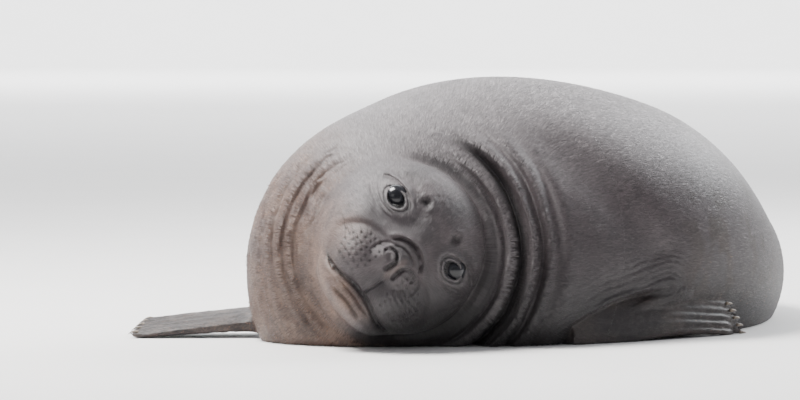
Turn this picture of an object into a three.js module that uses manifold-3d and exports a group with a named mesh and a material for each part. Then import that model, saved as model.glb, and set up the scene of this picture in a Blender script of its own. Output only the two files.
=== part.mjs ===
// A young elephant seal lying on its belly, life size, in millimetres with +Z up.
// The head is turned to the seal's left and rolled, so that the face looks along -Y.
// The body is described by a few blended ellipsoids and skin folds. Closed meshes are made by casting
// rays from inside onto that surface, and they are cut into the parts that a person would name.

import * as THREE from "three";
import { mergeVertices } from "three/addons/utils/BufferGeometryUtils.js";
import Module from "manifold-3d";

const wasm = await Module();
wasm.setup();

// Driving sizes
const GAP = 0.3;
const HEAD_CENTRE = new THREE.Vector3(0, 0, 140);
const HEAD_ROLL = THREE.MathUtils.degToRad(52);
const SOCKET_RADIUS = 137;
const FACE_CONE = THREE.MathUtils.degToRad(74);
const FACE_CONE_BLEND = THREE.MathUtils.degToRad(14);
const EYE_RADIUS = 21;
const EYE_SPACING = 65;
const EYE_HEIGHT = 44;
const EYE_DEPTH = 67;
const EYE_OPENING = { long: 17.5, tall: 12.5, tilt: THREE.MathUtils.degToRad(-6) };
const MUZZLE_SHIFT = 6;

// The head's own axes: towards its left side, its crown and its nose
const LEFT = new THREE.Vector3(Math.cos(HEAD_ROLL), 0, -Math.sin(HEAD_ROLL));
const CROWN = new THREE.Vector3(Math.sin(HEAD_ROLL), 0, Math.cos(HEAD_ROLL));
const NOSE = new THREE.Vector3(0, -1, 0);

// Small helpers

const clamp = THREE.MathUtils.clamp;
const lerp = THREE.MathUtils.lerp;

function smoothstep(from, to, x) {
  const t = clamp((x - from) / (to - from), 0, 1);
  return t * t * (3 - 2 * t);
}

function bell(x, width) {
  return Math.exp(-((x / width) ** 2));
}

// Two distances joined with a fillet of size k.
function blendUnion(a, b, k) {
  const h = Math.max(k - Math.abs(a - b), 0) / k;
  return Math.min(a, b) - h * h * k * 0.25;
}

// Distance to an ellipsoid, given a point in its own axes.
function ellipsoid(x, y, z, rx, ry, rz) {
  const k0 = Math.hypot(x / rx, y / ry, z / rz);
  if (k0 < 1e-6) return -Math.min(rx, ry, rz);
  const k1 = Math.hypot(x / (rx * rx), y / (ry * ry), z / (rz * rz));
  return (k0 * (k0 - 1)) / k1;
}

// Torso, from the collar back to the hips: each blob has a centre, half sizes, a heading from +Y towards
// +X, and the fillet that joins it to the blobs before it
const TORSO = [
  { at: [-43, 113, 99], length: 150, width: 187, height: 209, heading: 11, blend: 0 },
  { at: [140, 82, 66], length: 112, width: 128, height: 104, heading: 24, blend: 60 },
  { at: [90, 253, 169], length: 277, width: 238, height: 209, heading: 40, blend: 90 },
  { at: [256, 356, 137], length: 318, width: 276, height: 229, heading: 36, blend: 110 },
  { at: [398, 665, 73], length: 376, width: 215, height: 179, heading: -1, blend: 110 },
  { at: [402, 1080, 78], length: 205, width: 118, height: 100, heading: 2, blend: 110 },
].map((b) => ({
  ...b,
  sin: Math.sin(THREE.MathUtils.degToRad(b.heading)),
  cos: Math.cos(THREE.MathUtils.degToRad(b.heading)),
}));
const TAIL = { from: [402, 1190, 66], to: [404, 1330, 30], thick: 34, thin: 17, flat: 0.55 };

// Skin folds that ring the head: radius from the head's axis, depth, width, and the span of angles in
// degrees (0 points along +X, 90 up) over which each is seen
const RING_FOLDS = [
  { radius: 149, depth: 4, width: 9, from: -60, to: 70 },
  { radius: 175, depth: 16, width: 14, from: -70, to: 55 },
  { radius: 212, depth: 7, width: 14, from: -60, to: 40 },
  { radius: 163, depth: 6, width: 11, from: 125, to: 230 },
];
const FOLD_FADE = 26;
const FOLD_SWELL = 0.3;

// Armpit fold over the near fore flipper, in the plane seen from the front
const ARMPIT = { from: [222, 0], over: [278, 78], to: [402, 92], depth: 12, width: 14, behind: 420 };

function angleFade(angle, fold) {
  let a = angle;
  if (a < fold.from - FOLD_FADE) a += 360;
  return (
    smoothstep(fold.from - FOLD_FADE / 2, fold.from + FOLD_FADE, a) *
    (1 - smoothstep(fold.to - FOLD_FADE, fold.to + FOLD_FADE / 2, a))
  );
}

function ringFolds(x, y, z) {
  const r = Math.hypot(x - HEAD_CENTRE.x, z - HEAD_CENTRE.z);
  if (y > 420 || r > 260) return 0;
  const angle = THREE.MathUtils.radToDeg(Math.atan2(z - HEAD_CENTRE.z, x - HEAD_CENTRE.x));
  let d = 0;
  for (const fold of RING_FOLDS) {
    const fade = angleFade(angle, fold);
    if (fade === 0) continue;
    const off = r - fold.radius;
    d += fade * fold.depth * bell(off, fold.width);
    d -= fade * FOLD_SWELL * fold.depth * bell(off + 2 * fold.width, 1.2 * fold.width);
    d -= fade * FOLD_SWELL * fold.depth * bell(off - 2 * fold.width, 1.4 * fold.width);
  }
  return d;
}

// Distance in the front plane to the bent line through an arc's three points.
function arcDistance(x, z, arc) {
  let best = Infinity;
  let along = 0;
  const steps = 14;
  for (let i = 0; i <= steps; i++) {
    const t = i / steps;
    const u = 1 - t;
    const px = u * u * arc.from[0] + 2 * u * t * arc.over[0] + t * t * arc.to[0];
    const pz = u * u * arc.from[1] + 2 * u * t * arc.over[1] + t * t * arc.to[1];
    const d = Math.hypot(x - px, z - pz);
    if (d < best) {
      best = d;
      along = t;
    }
  }
  return { distance: best, along };
}

function armpitFold(x, y, z) {
  if (y > ARMPIT.behind || x < 150 || x > 460 || z > 190) return 0;
  const { distance, along } = arcDistance(x, z, ARMPIT);
  const fade = smoothstep(0, 0.45, along);
  const above = bell(distance - 28, 16) * smoothstep(60, 90, z);
  return fade * (ARMPIT.depth * bell(distance, ARMPIT.width) - 5 * above);
}

// The body without its head and flippers
function bodyDistance(x, y, z) {
  let d = Infinity;
  for (const blob of TORSO) {
    const dx = x - blob.at[0];
    const dy = y - blob.at[1];
    const side = dx * blob.cos - dy * blob.sin;
    const along = dx * blob.sin + dy * blob.cos;
    const e = ellipsoid(side, along, z - blob.at[2], blob.width, blob.length, blob.height);
    d = d === Infinity ? e : blendUnion(d, e, blob.blend);
  }
  return d + ringFolds(x, y, z) + armpitFold(x, y, z);
}

// The head in its own axes: l to its left, u to its crown, f to its nose
function eyeShape(l, u, side) {
  const dl = (l - side * EYE_SPACING) * side;
  const du = u - EYE_HEIGHT;
  const c = Math.cos(EYE_OPENING.tilt);
  const s = Math.sin(EYE_OPENING.tilt);
  return Math.hypot((dl * c + du * s) / EYE_OPENING.long, (du * c - dl * s) / EYE_OPENING.tall);
}

function mouthHeight(l) {
  const m = l - MUZZLE_SHIFT;
  return -77 - 9 * smoothstep(8, 52, Math.abs(m)) + 9 * smoothstep(56, 88, Math.abs(m));
}

function headDistance(l, u, f) {
  const m = l - MUZZLE_SHIFT;
  let d = ellipsoid(l, u - 6, f + 14, 131, 127, 128);
  d = blendUnion(d, ellipsoid(m, u + 30, f - 62, 92, 72, 62), 46);
  d = blendUnion(d, ellipsoid(m, u + 4, f - 92, 38, 27, 50), 26);
  for (const side of [-1, 1]) {
    d = blendUnion(d, ellipsoid(m - side * 36, u + 48, f - 92, 41, 37, 48), 12);
    d = blendUnion(d, ellipsoid(m - side * 19, u + 22, f - 112, 17, 21, 29), 10);
  }
  d = blendUnion(d, ellipsoid(m, u + 98, f - 64, 64, 26, 54), 24);
  if (f > 20) d += faceDetail(l, u, f);
  return d;
}

function faceDetail(l, u, f) {
  const m = l - MUZZLE_SHIFT;
  const front = smoothstep(20, 60, f);
  let d = 0;
  for (const side of [-1, 1]) {
    const rho = eyeShape(l, u, side);
    d += 7 * bell(rho, 0.85) - 3.2 * bell(rho - 1.4, 0.4) + 1.8 * bell(rho - 2.2, 0.4);
    d += 5 * bell(Math.hypot(l - side * 34, u - 76), 8);
    const slit = Math.hypot(Math.max(Math.abs(u + 20) - 12, 0) * 0.6, m - side * (7 + 5 * smoothstep(-22, -4, u)));
    d += 9 * bell(slit, 3.6) * smoothstep(95, 110, f);
    d += 3.5 * bell(Math.hypot(l - side * 112, u - 26), 6);
  }
  const corner = smoothstep(26, 60, Math.abs(m));
  d += lerp(7, 3.5, corner) * bell(u - mouthHeight(l), lerp(4.8, 9, corner)) * (1 - smoothstep(50, 76, Math.abs(m)));
  d += 4 * bell(m, 4) * smoothstep(-80, -72, u) * (1 - smoothstep(-44, -36, u)) * smoothstep(80, 100, f);
  const noseArc = Math.hypot(m / 34, (u + 4) / 29);
  d += 4 * bell(noseArc - 1, 0.12) * smoothstep(0, 14, u) * smoothstep(60, 80, f);
  return d * front;
}

// Casting rays onto a surface

function firstExit(distance, origin, direction, limit, level) {
  const step = 5;
  const at = (r) =>
    distance(origin.x + direction.x * r, origin.y + direction.y * r, origin.z + direction.z * r) - level;
  let inside = 0;
  for (let r = step; r <= limit; r += step) {
    if (at(r) > 0) {
      let outside = r;
      for (let i = 0; i < 14; i++) {
        const middle = (inside + outside) / 2;
        if (at(middle) > 0) outside = middle;
        else inside = middle;
      }
      return outside;
    }
    inside = r;
  }
  return limit;
}

// A closed mesh from rows of points, each row a ring, with a point at each end.
function closedFromRings(first, rings, last) {
  const columns = rings[0].length;
  const positions = [first, ...rings.flat(), last].flatMap((p) => [p.x, p.y, p.z]);
  const index = [];
  const vertex = (row, column) => 1 + row * columns + (column % columns);
  const end = 1 + rings.length * columns;
  for (let c = 0; c < columns; c++) {
    index.push(0, vertex(0, c), vertex(0, c + 1));
    index.push(end, vertex(rings.length - 1, c + 1), vertex(rings.length - 1, c));
  }
  for (let r = 0; r < rings.length - 1; r++)
    for (let c = 0; c < columns; c++) {
      index.push(vertex(r, c), vertex(r + 1, c), vertex(r + 1, c + 1));
      index.push(vertex(r, c), vertex(r + 1, c + 1), vertex(r, c + 1));
    }
  const geometry = new THREE.BufferGeometry();
  geometry.setAttribute("position", new THREE.Float32BufferAttribute(positions, 3));
  geometry.setIndex(index);
  return geometry;
}

function toSolid(geometry) {
  const bare = geometry.clone();
  for (const name of Object.keys(bare.attributes)) if (name !== "position") bare.deleteAttribute(name);
  const merged = mergeVertices(bare, 1e-4);
  const solid = new wasm.Manifold(
    new wasm.Mesh({
      numProp: 3,
      vertProperties: new Float32Array(merged.attributes.position.array),
      triVerts: new Uint32Array(merged.index.array),
    }),
  );
  if (solid.volume() > 0) return solid;
  const flipped = merged.index.array.slice();
  for (let i = 0; i < flipped.length; i += 3) [flipped[i + 1], flipped[i + 2]] = [flipped[i + 2], flipped[i + 1]];
  return new wasm.Manifold(
    new wasm.Mesh({
      numProp: 3,
      vertProperties: new Float32Array(merged.attributes.position.array),
      triVerts: new Uint32Array(flipped),
    }),
  );
}

function toGeometry(solid) {
  const mesh = solid.getMesh();
  const geometry = new THREE.BufferGeometry();
  const positions = [];
  for (let i = 0; i < mesh.numVert; i++)
    positions.push(...mesh.vertProperties.slice(i * mesh.numProp, i * mesh.numProp + 3));
  geometry.setAttribute("position", new THREE.Float32BufferAttribute(positions, 3));
  geometry.setIndex(Array.from(mesh.triVerts));
  geometry.computeVertexNormals();
  return geometry;
}

function largest(solid) {
  return solid.decompose().reduce((a, b) => (a.volume() >= b.volume() ? a : b));
}

// The part of a solid on the side of a plane that the normal points to.
function keepSide(solid, normal, point, gap) {
  const n = normal.clone().normalize();
  return largest(solid.trimByPlane([n.x, n.y, n.z], n.dot(point) + gap));
}

// Torso mesh: rings round the spine, from the collar round the head back to the root of the tail

const SPINE = new THREE.CatmullRomCurve3(
  [
    [0, 60, 140],
    [38, 180, 142],
    [130, 290, 145],
    [245, 415, 138],
    [345, 580, 110],
    [394, 780, 88],
    [402, 980, 74],
    [403, 1130, 60],
  ].map((p) => new THREE.Vector3(...p)),
);
// Heading of the body's sections, in degrees from +Y towards +X: straight at the collar, turned
// along the chest, straight again at the hips
const TURN = { peak: 38, rise: 0.36, hold: 0.44, end: 0.86 };
const BODY_COLUMNS = 46;
const COLLAR_SWEEPS = [30, 54, 60, 64, 67, 70, 73, 76, 79, 82, 85, 88];
const BODY_RINGS = 26;
const RING_CROWDING = 1.5;
const TAIL_CAP_RINGS = 5;
const RAY_LIMIT = 420;

function forwardAt(t) {
  const turned = smoothstep(0, TURN.rise, t) * (1 - smoothstep(TURN.hold, TURN.end, t));
  const heading = THREE.MathUtils.degToRad(TURN.peak * turned);
  return new THREE.Vector3(-Math.sin(heading), -Math.cos(heading), 0);
}

function bodyRing(origin, forward, sweep, level) {
  const side = new THREE.Vector3(0, 0, 1).cross(forward).normalize();
  const up = forward.clone().cross(side).normalize();
  const ring = [];
  for (let c = 0; c < BODY_COLUMNS; c++) {
    const turn = (2 * Math.PI * c) / BODY_COLUMNS;
    const direction = forward
      .clone()
      .multiplyScalar(Math.cos(sweep))
      .addScaledVector(side, Math.sin(sweep) * Math.cos(turn))
      .addScaledVector(up, Math.sin(sweep) * Math.sin(turn));
    ring.push(rayPoint(origin, direction, level));
  }
  return ring;
}

function rayPoint(origin, direction, level) {
  const r = firstExit(bodyDistance, origin, direction, RAY_LIMIT, level);
  const floorReach = direction.z < -1e-6 ? origin.z / -direction.z : Infinity;
  return origin.clone().addScaledVector(direction, Math.min(r, floorReach + Math.max(level, 0)));
}

function bodySolid(level = 0) {
  const rings = [];
  const start = SPINE.getPointAt(0);
  const forward = forwardAt(0);
  for (const sweep of COLLAR_SWEEPS)
    rings.push(bodyRing(start, forward, THREE.MathUtils.degToRad(sweep), level));
  for (let i = 0; i <= BODY_RINGS; i++) {
    const t = (i / BODY_RINGS) ** RING_CROWDING;
    rings.push(bodyRing(SPINE.getPointAt(t), forwardAt(t), Math.PI / 2, level));
  }
  const end = SPINE.getPointAt(1);
  const last = forwardAt(1);
  for (let i = 1; i <= TAIL_CAP_RINGS; i++)
    rings.push(bodyRing(end, last, Math.PI / 2 + (i / (TAIL_CAP_RINGS + 1)) * (Math.PI / 2), level));
  return toSolid(
    closedFromRings(rayPoint(start, forward, level), rings, rayPoint(end, last.clone().negate(), level)),
  );
}

// Head mesh: rings round the nose's axis, close together on the face

const HEAD_COLUMNS = 80;
const FACE_RINGS = 28;
const SKULL_RINGS = 3;
const EYE_CROWDING = { pull: 0.55, reach: 0.36 };

function headPoint(direction, polar, level) {
  const r = firstExit(headDistance, new THREE.Vector3(), direction, 200, 0);
  const seated = smoothstep(FACE_CONE, FACE_CONE + FACE_CONE_BLEND, polar);
  const reach = lerp(r, SOCKET_RADIUS, seated);
  const p = direction.clone().multiplyScalar(reach + level);
  return HEAD_CENTRE.clone()
    .addScaledVector(LEFT, p.x)
    .addScaledVector(CROWN, p.y)
    .addScaledVector(NOSE, p.z);
}

// A direction in the head's axes, drawn a little towards the eyes so that the lids get a finer mesh
function headDirection(polar, turn) {
  const plain = new THREE.Vector3(Math.sin(polar) * Math.cos(turn), Math.sin(polar) * Math.sin(turn), Math.cos(polar));
  const drawn = plain.clone();
  for (const side of [-1, 1]) {
    const toEye = new THREE.Vector3(side * EYE_SPACING, EYE_HEIGHT, EYE_DEPTH + EYE_RADIUS).normalize().sub(plain);
    drawn.addScaledVector(toEye, EYE_CROWDING.pull * bell(toEye.length(), EYE_CROWDING.reach));
  }
  return drawn.normalize();
}

function headSolid(level = 0) {
  const rings = [];
  const faceEnd = FACE_CONE + FACE_CONE_BLEND;
  for (let i = 1; i <= FACE_RINGS + SKULL_RINGS; i++) {
    const polar =
      i <= FACE_RINGS
        ? (i / FACE_RINGS) * faceEnd
        : lerp(faceEnd, Math.PI, (i - FACE_RINGS) / (SKULL_RINGS + 1));
    const ring = [];
    for (let c = 0; c < HEAD_COLUMNS; c++)
      ring.push(headPoint(headDirection(polar, (2 * Math.PI * c) / HEAD_COLUMNS), polar, level));
    rings.push(ring);
  }
  const tip = headPoint(headDirection(0, 0), 0, level);
  const back = headPoint(headDirection(Math.PI, 0), Math.PI, level);
  return toSolid(closedFromRings(tip, rings, back));
}

function ball(radius, centre, detail = 32) {
  const geometry = new THREE.SphereGeometry(radius, detail, Math.round(detail * 0.6));
  geometry.translate(centre.x, centre.y, centre.z);
  return toSolid(geometry);
}

function eyeCentre(side) {
  return HEAD_CENTRE.clone()
    .addScaledVector(LEFT, side * EYE_SPACING)
    .addScaledVector(CROWN, EYE_HEIGHT)
    .addScaledVector(NOSE, EYE_DEPTH);
}

// Flippers: a flat paddle with five digits, wide at its free end.
// Each row of the loft is a flattened loop, and both ends are closed by a strip.

const FLIPPER_ROWS = 14;
const FLIPPER_HALF = 15;

function paddle(shape) {
  const rows = [];
  for (let i = 0; i <= FLIPPER_ROWS; i++) {
    const s = i / FLIPPER_ROWS;
    const loop = [];
    for (let j = 0; j < 2 * FLIPPER_HALF; j++) {
      const turn = (Math.PI * (j + 0.5)) / FLIPPER_HALF;
      const across = Math.cos(turn);
      const face = Math.sin(turn) > 0 ? 1 : -1;
      loop.push(shape.point(s, across, face));
    }
    rows.push(loop);
  }
  const loopSize = 2 * FLIPPER_HALF;
  const positions = rows.flat().flatMap((p) => [p.x, p.y, p.z]);
  const index = [];
  const vertex = (row, j) => row * loopSize + (j % loopSize);
  for (let i = 0; i < FLIPPER_ROWS; i++)
    for (let j = 0; j < loopSize; j++) {
      index.push(vertex(i, j), vertex(i + 1, j), vertex(i + 1, j + 1));
      index.push(vertex(i, j), vertex(i + 1, j + 1), vertex(i, j + 1));
    }
  for (const [row, flip] of [
    [0, true],
    [FLIPPER_ROWS, false],
  ])
    for (let j = 0; j < FLIPPER_HALF - 1; j++) {
      const quad = [vertex(row, j), vertex(row, j + 1), vertex(row, loopSize - 2 - j), vertex(row, loopSize - 1 - j)];
      const faces = [
        [quad[0], quad[3], quad[2]],
        [quad[0], quad[2], quad[1]],
      ];
      for (const face of faces) index.push(...(flip ? face.reverse() : face));
    }
  const geometry = new THREE.BufferGeometry();
  geometry.setAttribute("position", new THREE.Float32BufferAttribute(positions, 3));
  geometry.setIndex(index);
  return toSolid(geometry);
}

const DIGITS = [-0.82, -0.42, -0.02, 0.38, 0.78];

function digitRidge(across) {
  return DIGITS.reduce((sum, at) => sum + bell(across - at, 0.13), 0);
}

// A paddle in its own frame: a along it, b across it towards its leading edge, c out of its upper face
function flipperShape(spec) {
  const place = (a, b, c) =>
    spec.root
      .clone()
      .addScaledVector(spec.along, a)
      .addScaledVector(spec.across, b)
      .addScaledVector(spec.out, c);
  const reach = (across) => spec.length * (1 - spec.slant * (0.5 - 0.5 * across)) + spec.scallop * (digitRidge(across) - 0.6);
  const point = (s, across, face) => {
    const tip = smoothstep(0.35, 1, s);
    const a = s * lerp(spec.length * 0.9, reach(across), tip);
    const half = lerp(spec.rootWidth, spec.tipWidth, smoothstep(0, 0.75, s)) / 2;
    const edge = Math.sqrt(Math.max(1 - across * across, 0));
    const thick = lerp(spec.rootThick, spec.tipThick, Math.pow(s, 0.8)) / 2;
    const ridge = tip * (digitRidge(across) - 0.45) * spec.ridge * (1 - smoothstep(0.93, 1, s));
    const c = face * Math.max((thick * (0.35 + 0.65 * edge) + ridge) * (1 - 0.55 * smoothstep(0.9, 1, s)), 1.2);
    const bend = spec.bend * (a / spec.length) ** 2 - spec.sink * (1 - a / spec.length) ** 2;
    const p = place(a, half * across, c + bend);
    p.z = Math.max(p.z, face > 0 ? 2.4 : 0);
    return p;
  };
  return { point, place, reach, spec };
}

function axes(along, out) {
  const a = along.clone().normalize();
  const c = out.clone().addScaledVector(a, -out.dot(a)).normalize();
  return { along: a, out: c, across: c.clone().cross(a).normalize() };
}

const NEAR_FORE = flipperShape({
  root: new THREE.Vector3(262, 12, 47),
  ...axes(new THREE.Vector3(0.76, 0.65, -0.05), new THREE.Vector3(0.62, -0.7, 0.35)),
  length: 330,
  slant: -0.07,
  scallop: 9,
  rootWidth: 96,
  tipWidth: 56,
  rootThick: 50,
  tipThick: 14,
  ridge: 4.5,
  bend: -20,
  sink: 44,
});
const FAR_FORE = flipperShape({
  root: new THREE.Vector3(-112, 214, 30),
  ...axes(new THREE.Vector3(-1, -0.06, -0.03), new THREE.Vector3(-0.03, -0.14, 1)),
  length: 296,
  slant: 0.1,
  scallop: 9,
  rootWidth: 100,
  tipWidth: 110,
  rootThick: 46,
  tipThick: 12,
  ridge: 3.5,
  bend: -12,
  sink: 0,
});
const HIND = [-1, 1].map((side) =>
  flipperShape({
    root: new THREE.Vector3(402 + side * 38, 1205, 42),
    ...axes(new THREE.Vector3(side * 0.3, 1, -0.06), new THREE.Vector3(-side * 0.6, 0.1, 0.8)),
    length: 285,
    slant: 0,
    scallop: 10,
    rootWidth: 66,
    tipWidth: 150,
    rootThick: 58,
    tipThick: 11,
    ridge: 3.2,
    bend: -6,
    sink: 0,
  }),
);

// A claw: a bent, tapered cone seated in the upper face of a digit's end
const CLAW = { length: 24, radius: 3.9, sides: 8, steps: 5, arch: 3, droop: 3, lift: 1 };

function clawSolid(shape, across, grow) {
  const seat = shape.point(0.97, across, 1);
  const { along, out } = shape.spec;
  const side = out.clone().cross(along);
  const middle = (t) =>
    seat
      .clone()
      .addScaledVector(along, CLAW.length * (t - 0.4))
      .addScaledVector(out, 4 * CLAW.arch * t * (1 - t) - CLAW.droop * t + 0.6);
  const rings = [];
  for (let i = 0; i < CLAW.steps; i++) {
    const t = i / CLAW.steps;
    const radius = CLAW.radius * (1 - 0.75 * t) + grow;
    const ring = [];
    for (let c = 0; c < CLAW.sides; c++) {
      const turn = (2 * Math.PI * c) / CLAW.sides;
      ring.push(
        middle(t)
          .addScaledVector(side, radius * Math.cos(turn))
          .addScaledVector(out, radius * Math.sin(turn)),
      );
    }
    rings.push(ring);
  }
  const root = middle(0).addScaledVector(along, -1 - grow);
  const tip = middle(1).addScaledVector(along, grow);
  for (const p of [root, ...rings.flat(), tip]) p.z = Math.max(p.z, CLAW.lift - grow);
  return toSolid(closedFromRings(root, rings, tip));
}

// Tail: a short flat cone between the hind flippers
function tailSolid() {
  const from = new THREE.Vector3(...TAIL.from);
  const to = new THREE.Vector3(...TAIL.to);
  const along = to.clone().sub(from);
  const rings = [];
  const rows = 9;
  for (let i = 0; i < rows; i++) {
    const t = i / (rows - 1);
    const radius = lerp(TAIL.thick, TAIL.thin, t) * Math.sqrt(Math.max(1 - ((t - 0.2) / 0.85) ** 4, 0.06));
    const middle = from.clone().addScaledVector(along, t);
    const ring = [];
    for (let c = 0; c < 20; c++) {
      const turn = (2 * Math.PI * c) / 20;
      ring.push(
        new THREE.Vector3(
          middle.x + radius * Math.cos(turn),
          middle.y,
          Math.max(middle.z + TAIL.flat * radius * Math.sin(turn), 0),
        ),
      );
    }
    rings.push(ring);
  }
  return toSolid(closedFromRings(from.clone().addScaledVector(along, -0.05), rings, to.clone().addScaledVector(along, 0.03)));
}

// Cuts and assembly

const CUTS = [
  { name: "neck_chest", at: 0.16 },
  { name: "chest_belly", at: 0.42 },
  { name: "belly_rump", at: 0.7 },
];

const materials = {
  hide: new THREE.MeshStandardMaterial({ color: 0x6b6566, roughness: 0.62, metalness: 0 }),
  flipper: new THREE.MeshStandardMaterial({ color: 0x4a4446, roughness: 0.6, metalness: 0 }),
  eye: new THREE.MeshStandardMaterial({ color: 0x1a1a1e, roughness: 0.08, metalness: 0 }),
  claw: new THREE.MeshStandardMaterial({ color: 0x8d837a, roughness: 0.45, metalness: 0 }),
};

const seal = new THREE.Group();

function addNode(name, solid, material) {
  const mesh = new THREE.Mesh(toGeometry(solid), materials[material]);
  mesh.name = name;
  seal.add(mesh);
}

const tail = tailSolid();
const body = bodySolid();
let trunk = largest(body.subtract(headSolid(GAP)));
const grownBody = bodySolid(GAP);

const sections = [];
for (const cut of CUTS) {
  const point = SPINE.getPointAt(cut.at);
  const back = forwardAt(cut.at).negate();
  sections.push(keepSide(trunk, back.clone().negate(), point, GAP / 2));
  trunk = keepSide(trunk, back, point, GAP / 2);
}
sections.push(trunk);
["neck", "chest", "belly", "rump"].forEach((name, i) => addNode(name, sections[i], "hide"));

let head = headSolid();
for (const side of [-1, 1]) head = head.subtract(ball(EYE_RADIUS + 2 * GAP, eyeCentre(side), 26));
addNode("head", largest(head), "hide");
for (const [name, side] of [
  ["eye_right", -1],
  ["eye_left", 1],
])
  addNode(name, ball(EYE_RADIUS, eyeCentre(side), 20), "eye");

addNode("tail", largest(tail.subtract(grownBody)), "hide");

function addFlipper(name, shape, claws) {
  const { x, y, z } = shape.spec.out;
  let solid = paddle(shape)
    .subtract(grownBody)
    .subtract(body.translate([x * GAP, y * GAP, z * GAP]));
  for (const across of claws) solid = solid.subtract(clawSolid(shape, across, GAP));
  addNode(name, largest(solid), "flipper");
}

for (const [side, shape] of [
  ["left", NEAR_FORE],
  ["right", FAR_FORE],
]) {
  addFlipper(`fore_flipper_${side}`, shape, DIGITS);
  DIGITS.forEach((across, i) => {
    const claw = clawSolid(shape, across, 0).subtract(grownBody);
    addNode(`claw_${side}_${i + 1}`, largest(claw), "claw");
  });
}
addFlipper("hind_flipper_right", HIND[0], []);
addFlipper("hind_flipper_left", HIND[1], []);

// The shared frame has its origin under the middle of the box that holds the whole seal.
const box = new THREE.Box3().setFromObject(seal);
const middle = box.getCenter(new THREE.Vector3());
seal.position.set(-middle.x, -middle.y, -box.min.z);

export default seal;
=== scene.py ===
import math

import bmesh
import bpy
import numpy as np
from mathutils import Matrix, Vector


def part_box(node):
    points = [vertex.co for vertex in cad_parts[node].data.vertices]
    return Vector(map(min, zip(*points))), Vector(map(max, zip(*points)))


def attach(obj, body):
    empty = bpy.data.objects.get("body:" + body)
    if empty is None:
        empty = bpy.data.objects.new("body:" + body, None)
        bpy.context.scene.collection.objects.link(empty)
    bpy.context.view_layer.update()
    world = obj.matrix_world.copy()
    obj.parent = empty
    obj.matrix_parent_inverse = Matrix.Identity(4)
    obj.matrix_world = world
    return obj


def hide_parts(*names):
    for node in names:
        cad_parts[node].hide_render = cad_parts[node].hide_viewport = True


# A young elephant seal lying on its belly with its head turned back and rolled, life size.
# Shapes are worked out in millimetres in the seal's own axes, then moved to the shared frame.

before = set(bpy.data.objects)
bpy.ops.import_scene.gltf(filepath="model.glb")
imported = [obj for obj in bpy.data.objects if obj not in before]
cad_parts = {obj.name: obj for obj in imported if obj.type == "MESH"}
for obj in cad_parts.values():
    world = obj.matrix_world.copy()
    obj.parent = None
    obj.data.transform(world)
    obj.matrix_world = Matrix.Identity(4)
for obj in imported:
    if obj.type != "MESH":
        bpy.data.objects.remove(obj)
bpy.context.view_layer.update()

GRID = 4.0
TUFTS = 220000
COAT_DEPTH = 1.5
FLOOR_GAP = 0.4
SEED = 11
FLESH = ("head", "neck", "chest", "belly", "rump", "tail")
FLESH += ("fore_flipper_left", "fore_flipper_right", "hind_flipper_left", "hind_flipper_right")
REST_GAP = 0.3

# Head: centre, roll and the places of its features (l to its left, u to its crown, f to its nose)
HEAD_CENTRE = np.array([0.0, 0.0, 140.0])
HEAD_ROLL = math.radians(52)
LEFT = np.array([math.cos(HEAD_ROLL), 0.0, -math.sin(HEAD_ROLL)])
CROWN = np.array([math.sin(HEAD_ROLL), 0.0, math.cos(HEAD_ROLL)])
NOSE = np.array([0.0, -1.0, 0.0])
EYE_RADIUS = 21.0
EYE_PLACE = (65.0, 44.0, 67.0)
EYE_LONG = 14.0
EYE_TALL = 10.4
EYE_TILT = math.radians(-6)
MUZZLE_SHIFT = 6.0
NOSE_SHIFT = 5.0
BROW = (33.0, 75.0)
EAR = (112.0, 26.0)


def head_to_model(l, u, f):
    return HEAD_CENTRE + LEFT * l + CROWN * u + NOSE * f


def eye_centre(side):
    return head_to_model(side * EYE_PLACE[0], EYE_PLACE[1], EYE_PLACE[2])


low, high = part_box("eye_left")
SHIFT = (np.array(low) + np.array(high)) * 500.0 - eye_centre(1)
SHIFT[2] = 0.0


def to_frame(points):
    return (np.asarray(points) + SHIFT) * 0.001


# Small functions


def rise(a, b, x):
    """From 0 at a to 1 at b, smoothly."""
    t = np.clip((x - a) / (b - a), 0.0, 1.0)
    return t * t * (3 - 2 * t)


def fall(a, b, x):
    """From 1 at a to 0 at b, smoothly."""
    return 1 - rise(a, b, x)


def bell(x, width):
    return np.exp(-((x / width) ** 2))


def mix(a, b, t):
    return a + (b - a) * t


def blend(a, b, share):
    """A mix of rows, such as colours or directions, with a share for each point."""
    return mix(a, b, share[:, None])


def union(a, b, k):
    """Two signed distances joined, with a fillet about k wide."""
    h = np.maximum(k - np.abs(a - b), 0.0) / k
    return np.minimum(a, b) - h * h * k * 0.25


def ellipsoid(x, y, z, rx, ry, rz):
    k0 = np.sqrt((x / rx) ** 2 + (y / ry) ** 2 + (z / rz) ** 2) + 1e-9
    k1 = np.sqrt((x / rx**2) ** 2 + (y / ry**2) ** 2 + (z / rz**2) ** 2) + 1e-12
    return k0 * (k0 - 1) / k1


def lattice(ix, iy, iz, seed):
    h = ix.astype(np.int64) * 374761393 + iy.astype(np.int64) * 668265263
    h = h + iz.astype(np.int64) * 2147483647 + seed * 1274126177
    h = (h ^ (h >> 13)) & 0xFFFFFFFF
    h = (h * 1274126177) & 0xFFFFFFFF
    h = h ^ (h >> 16)
    return (h & 0xFFFF) / 32767.5 - 1.0


def noise(points, size, seed=0):
    """Smooth value noise from -1 to 1 with features about `size` across."""
    q = points / size
    base = np.floor(q)
    t = q - base
    t = t * t * (3 - 2 * t)
    i, j, k = (base[..., n].astype(np.int64) for n in range(3))
    out = np.zeros(len(points))
    for dx in (0, 1):
        wx = t[..., 0] if dx else 1 - t[..., 0]
        for dy in (0, 1):
            wy = t[..., 1] if dy else 1 - t[..., 1]
            for dz in (0, 1):
                wz = t[..., 2] if dz else 1 - t[..., 2]
                out += wx * wy * wz * lattice(i + dx, j + dy, k + dz, seed)
    return out


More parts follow.
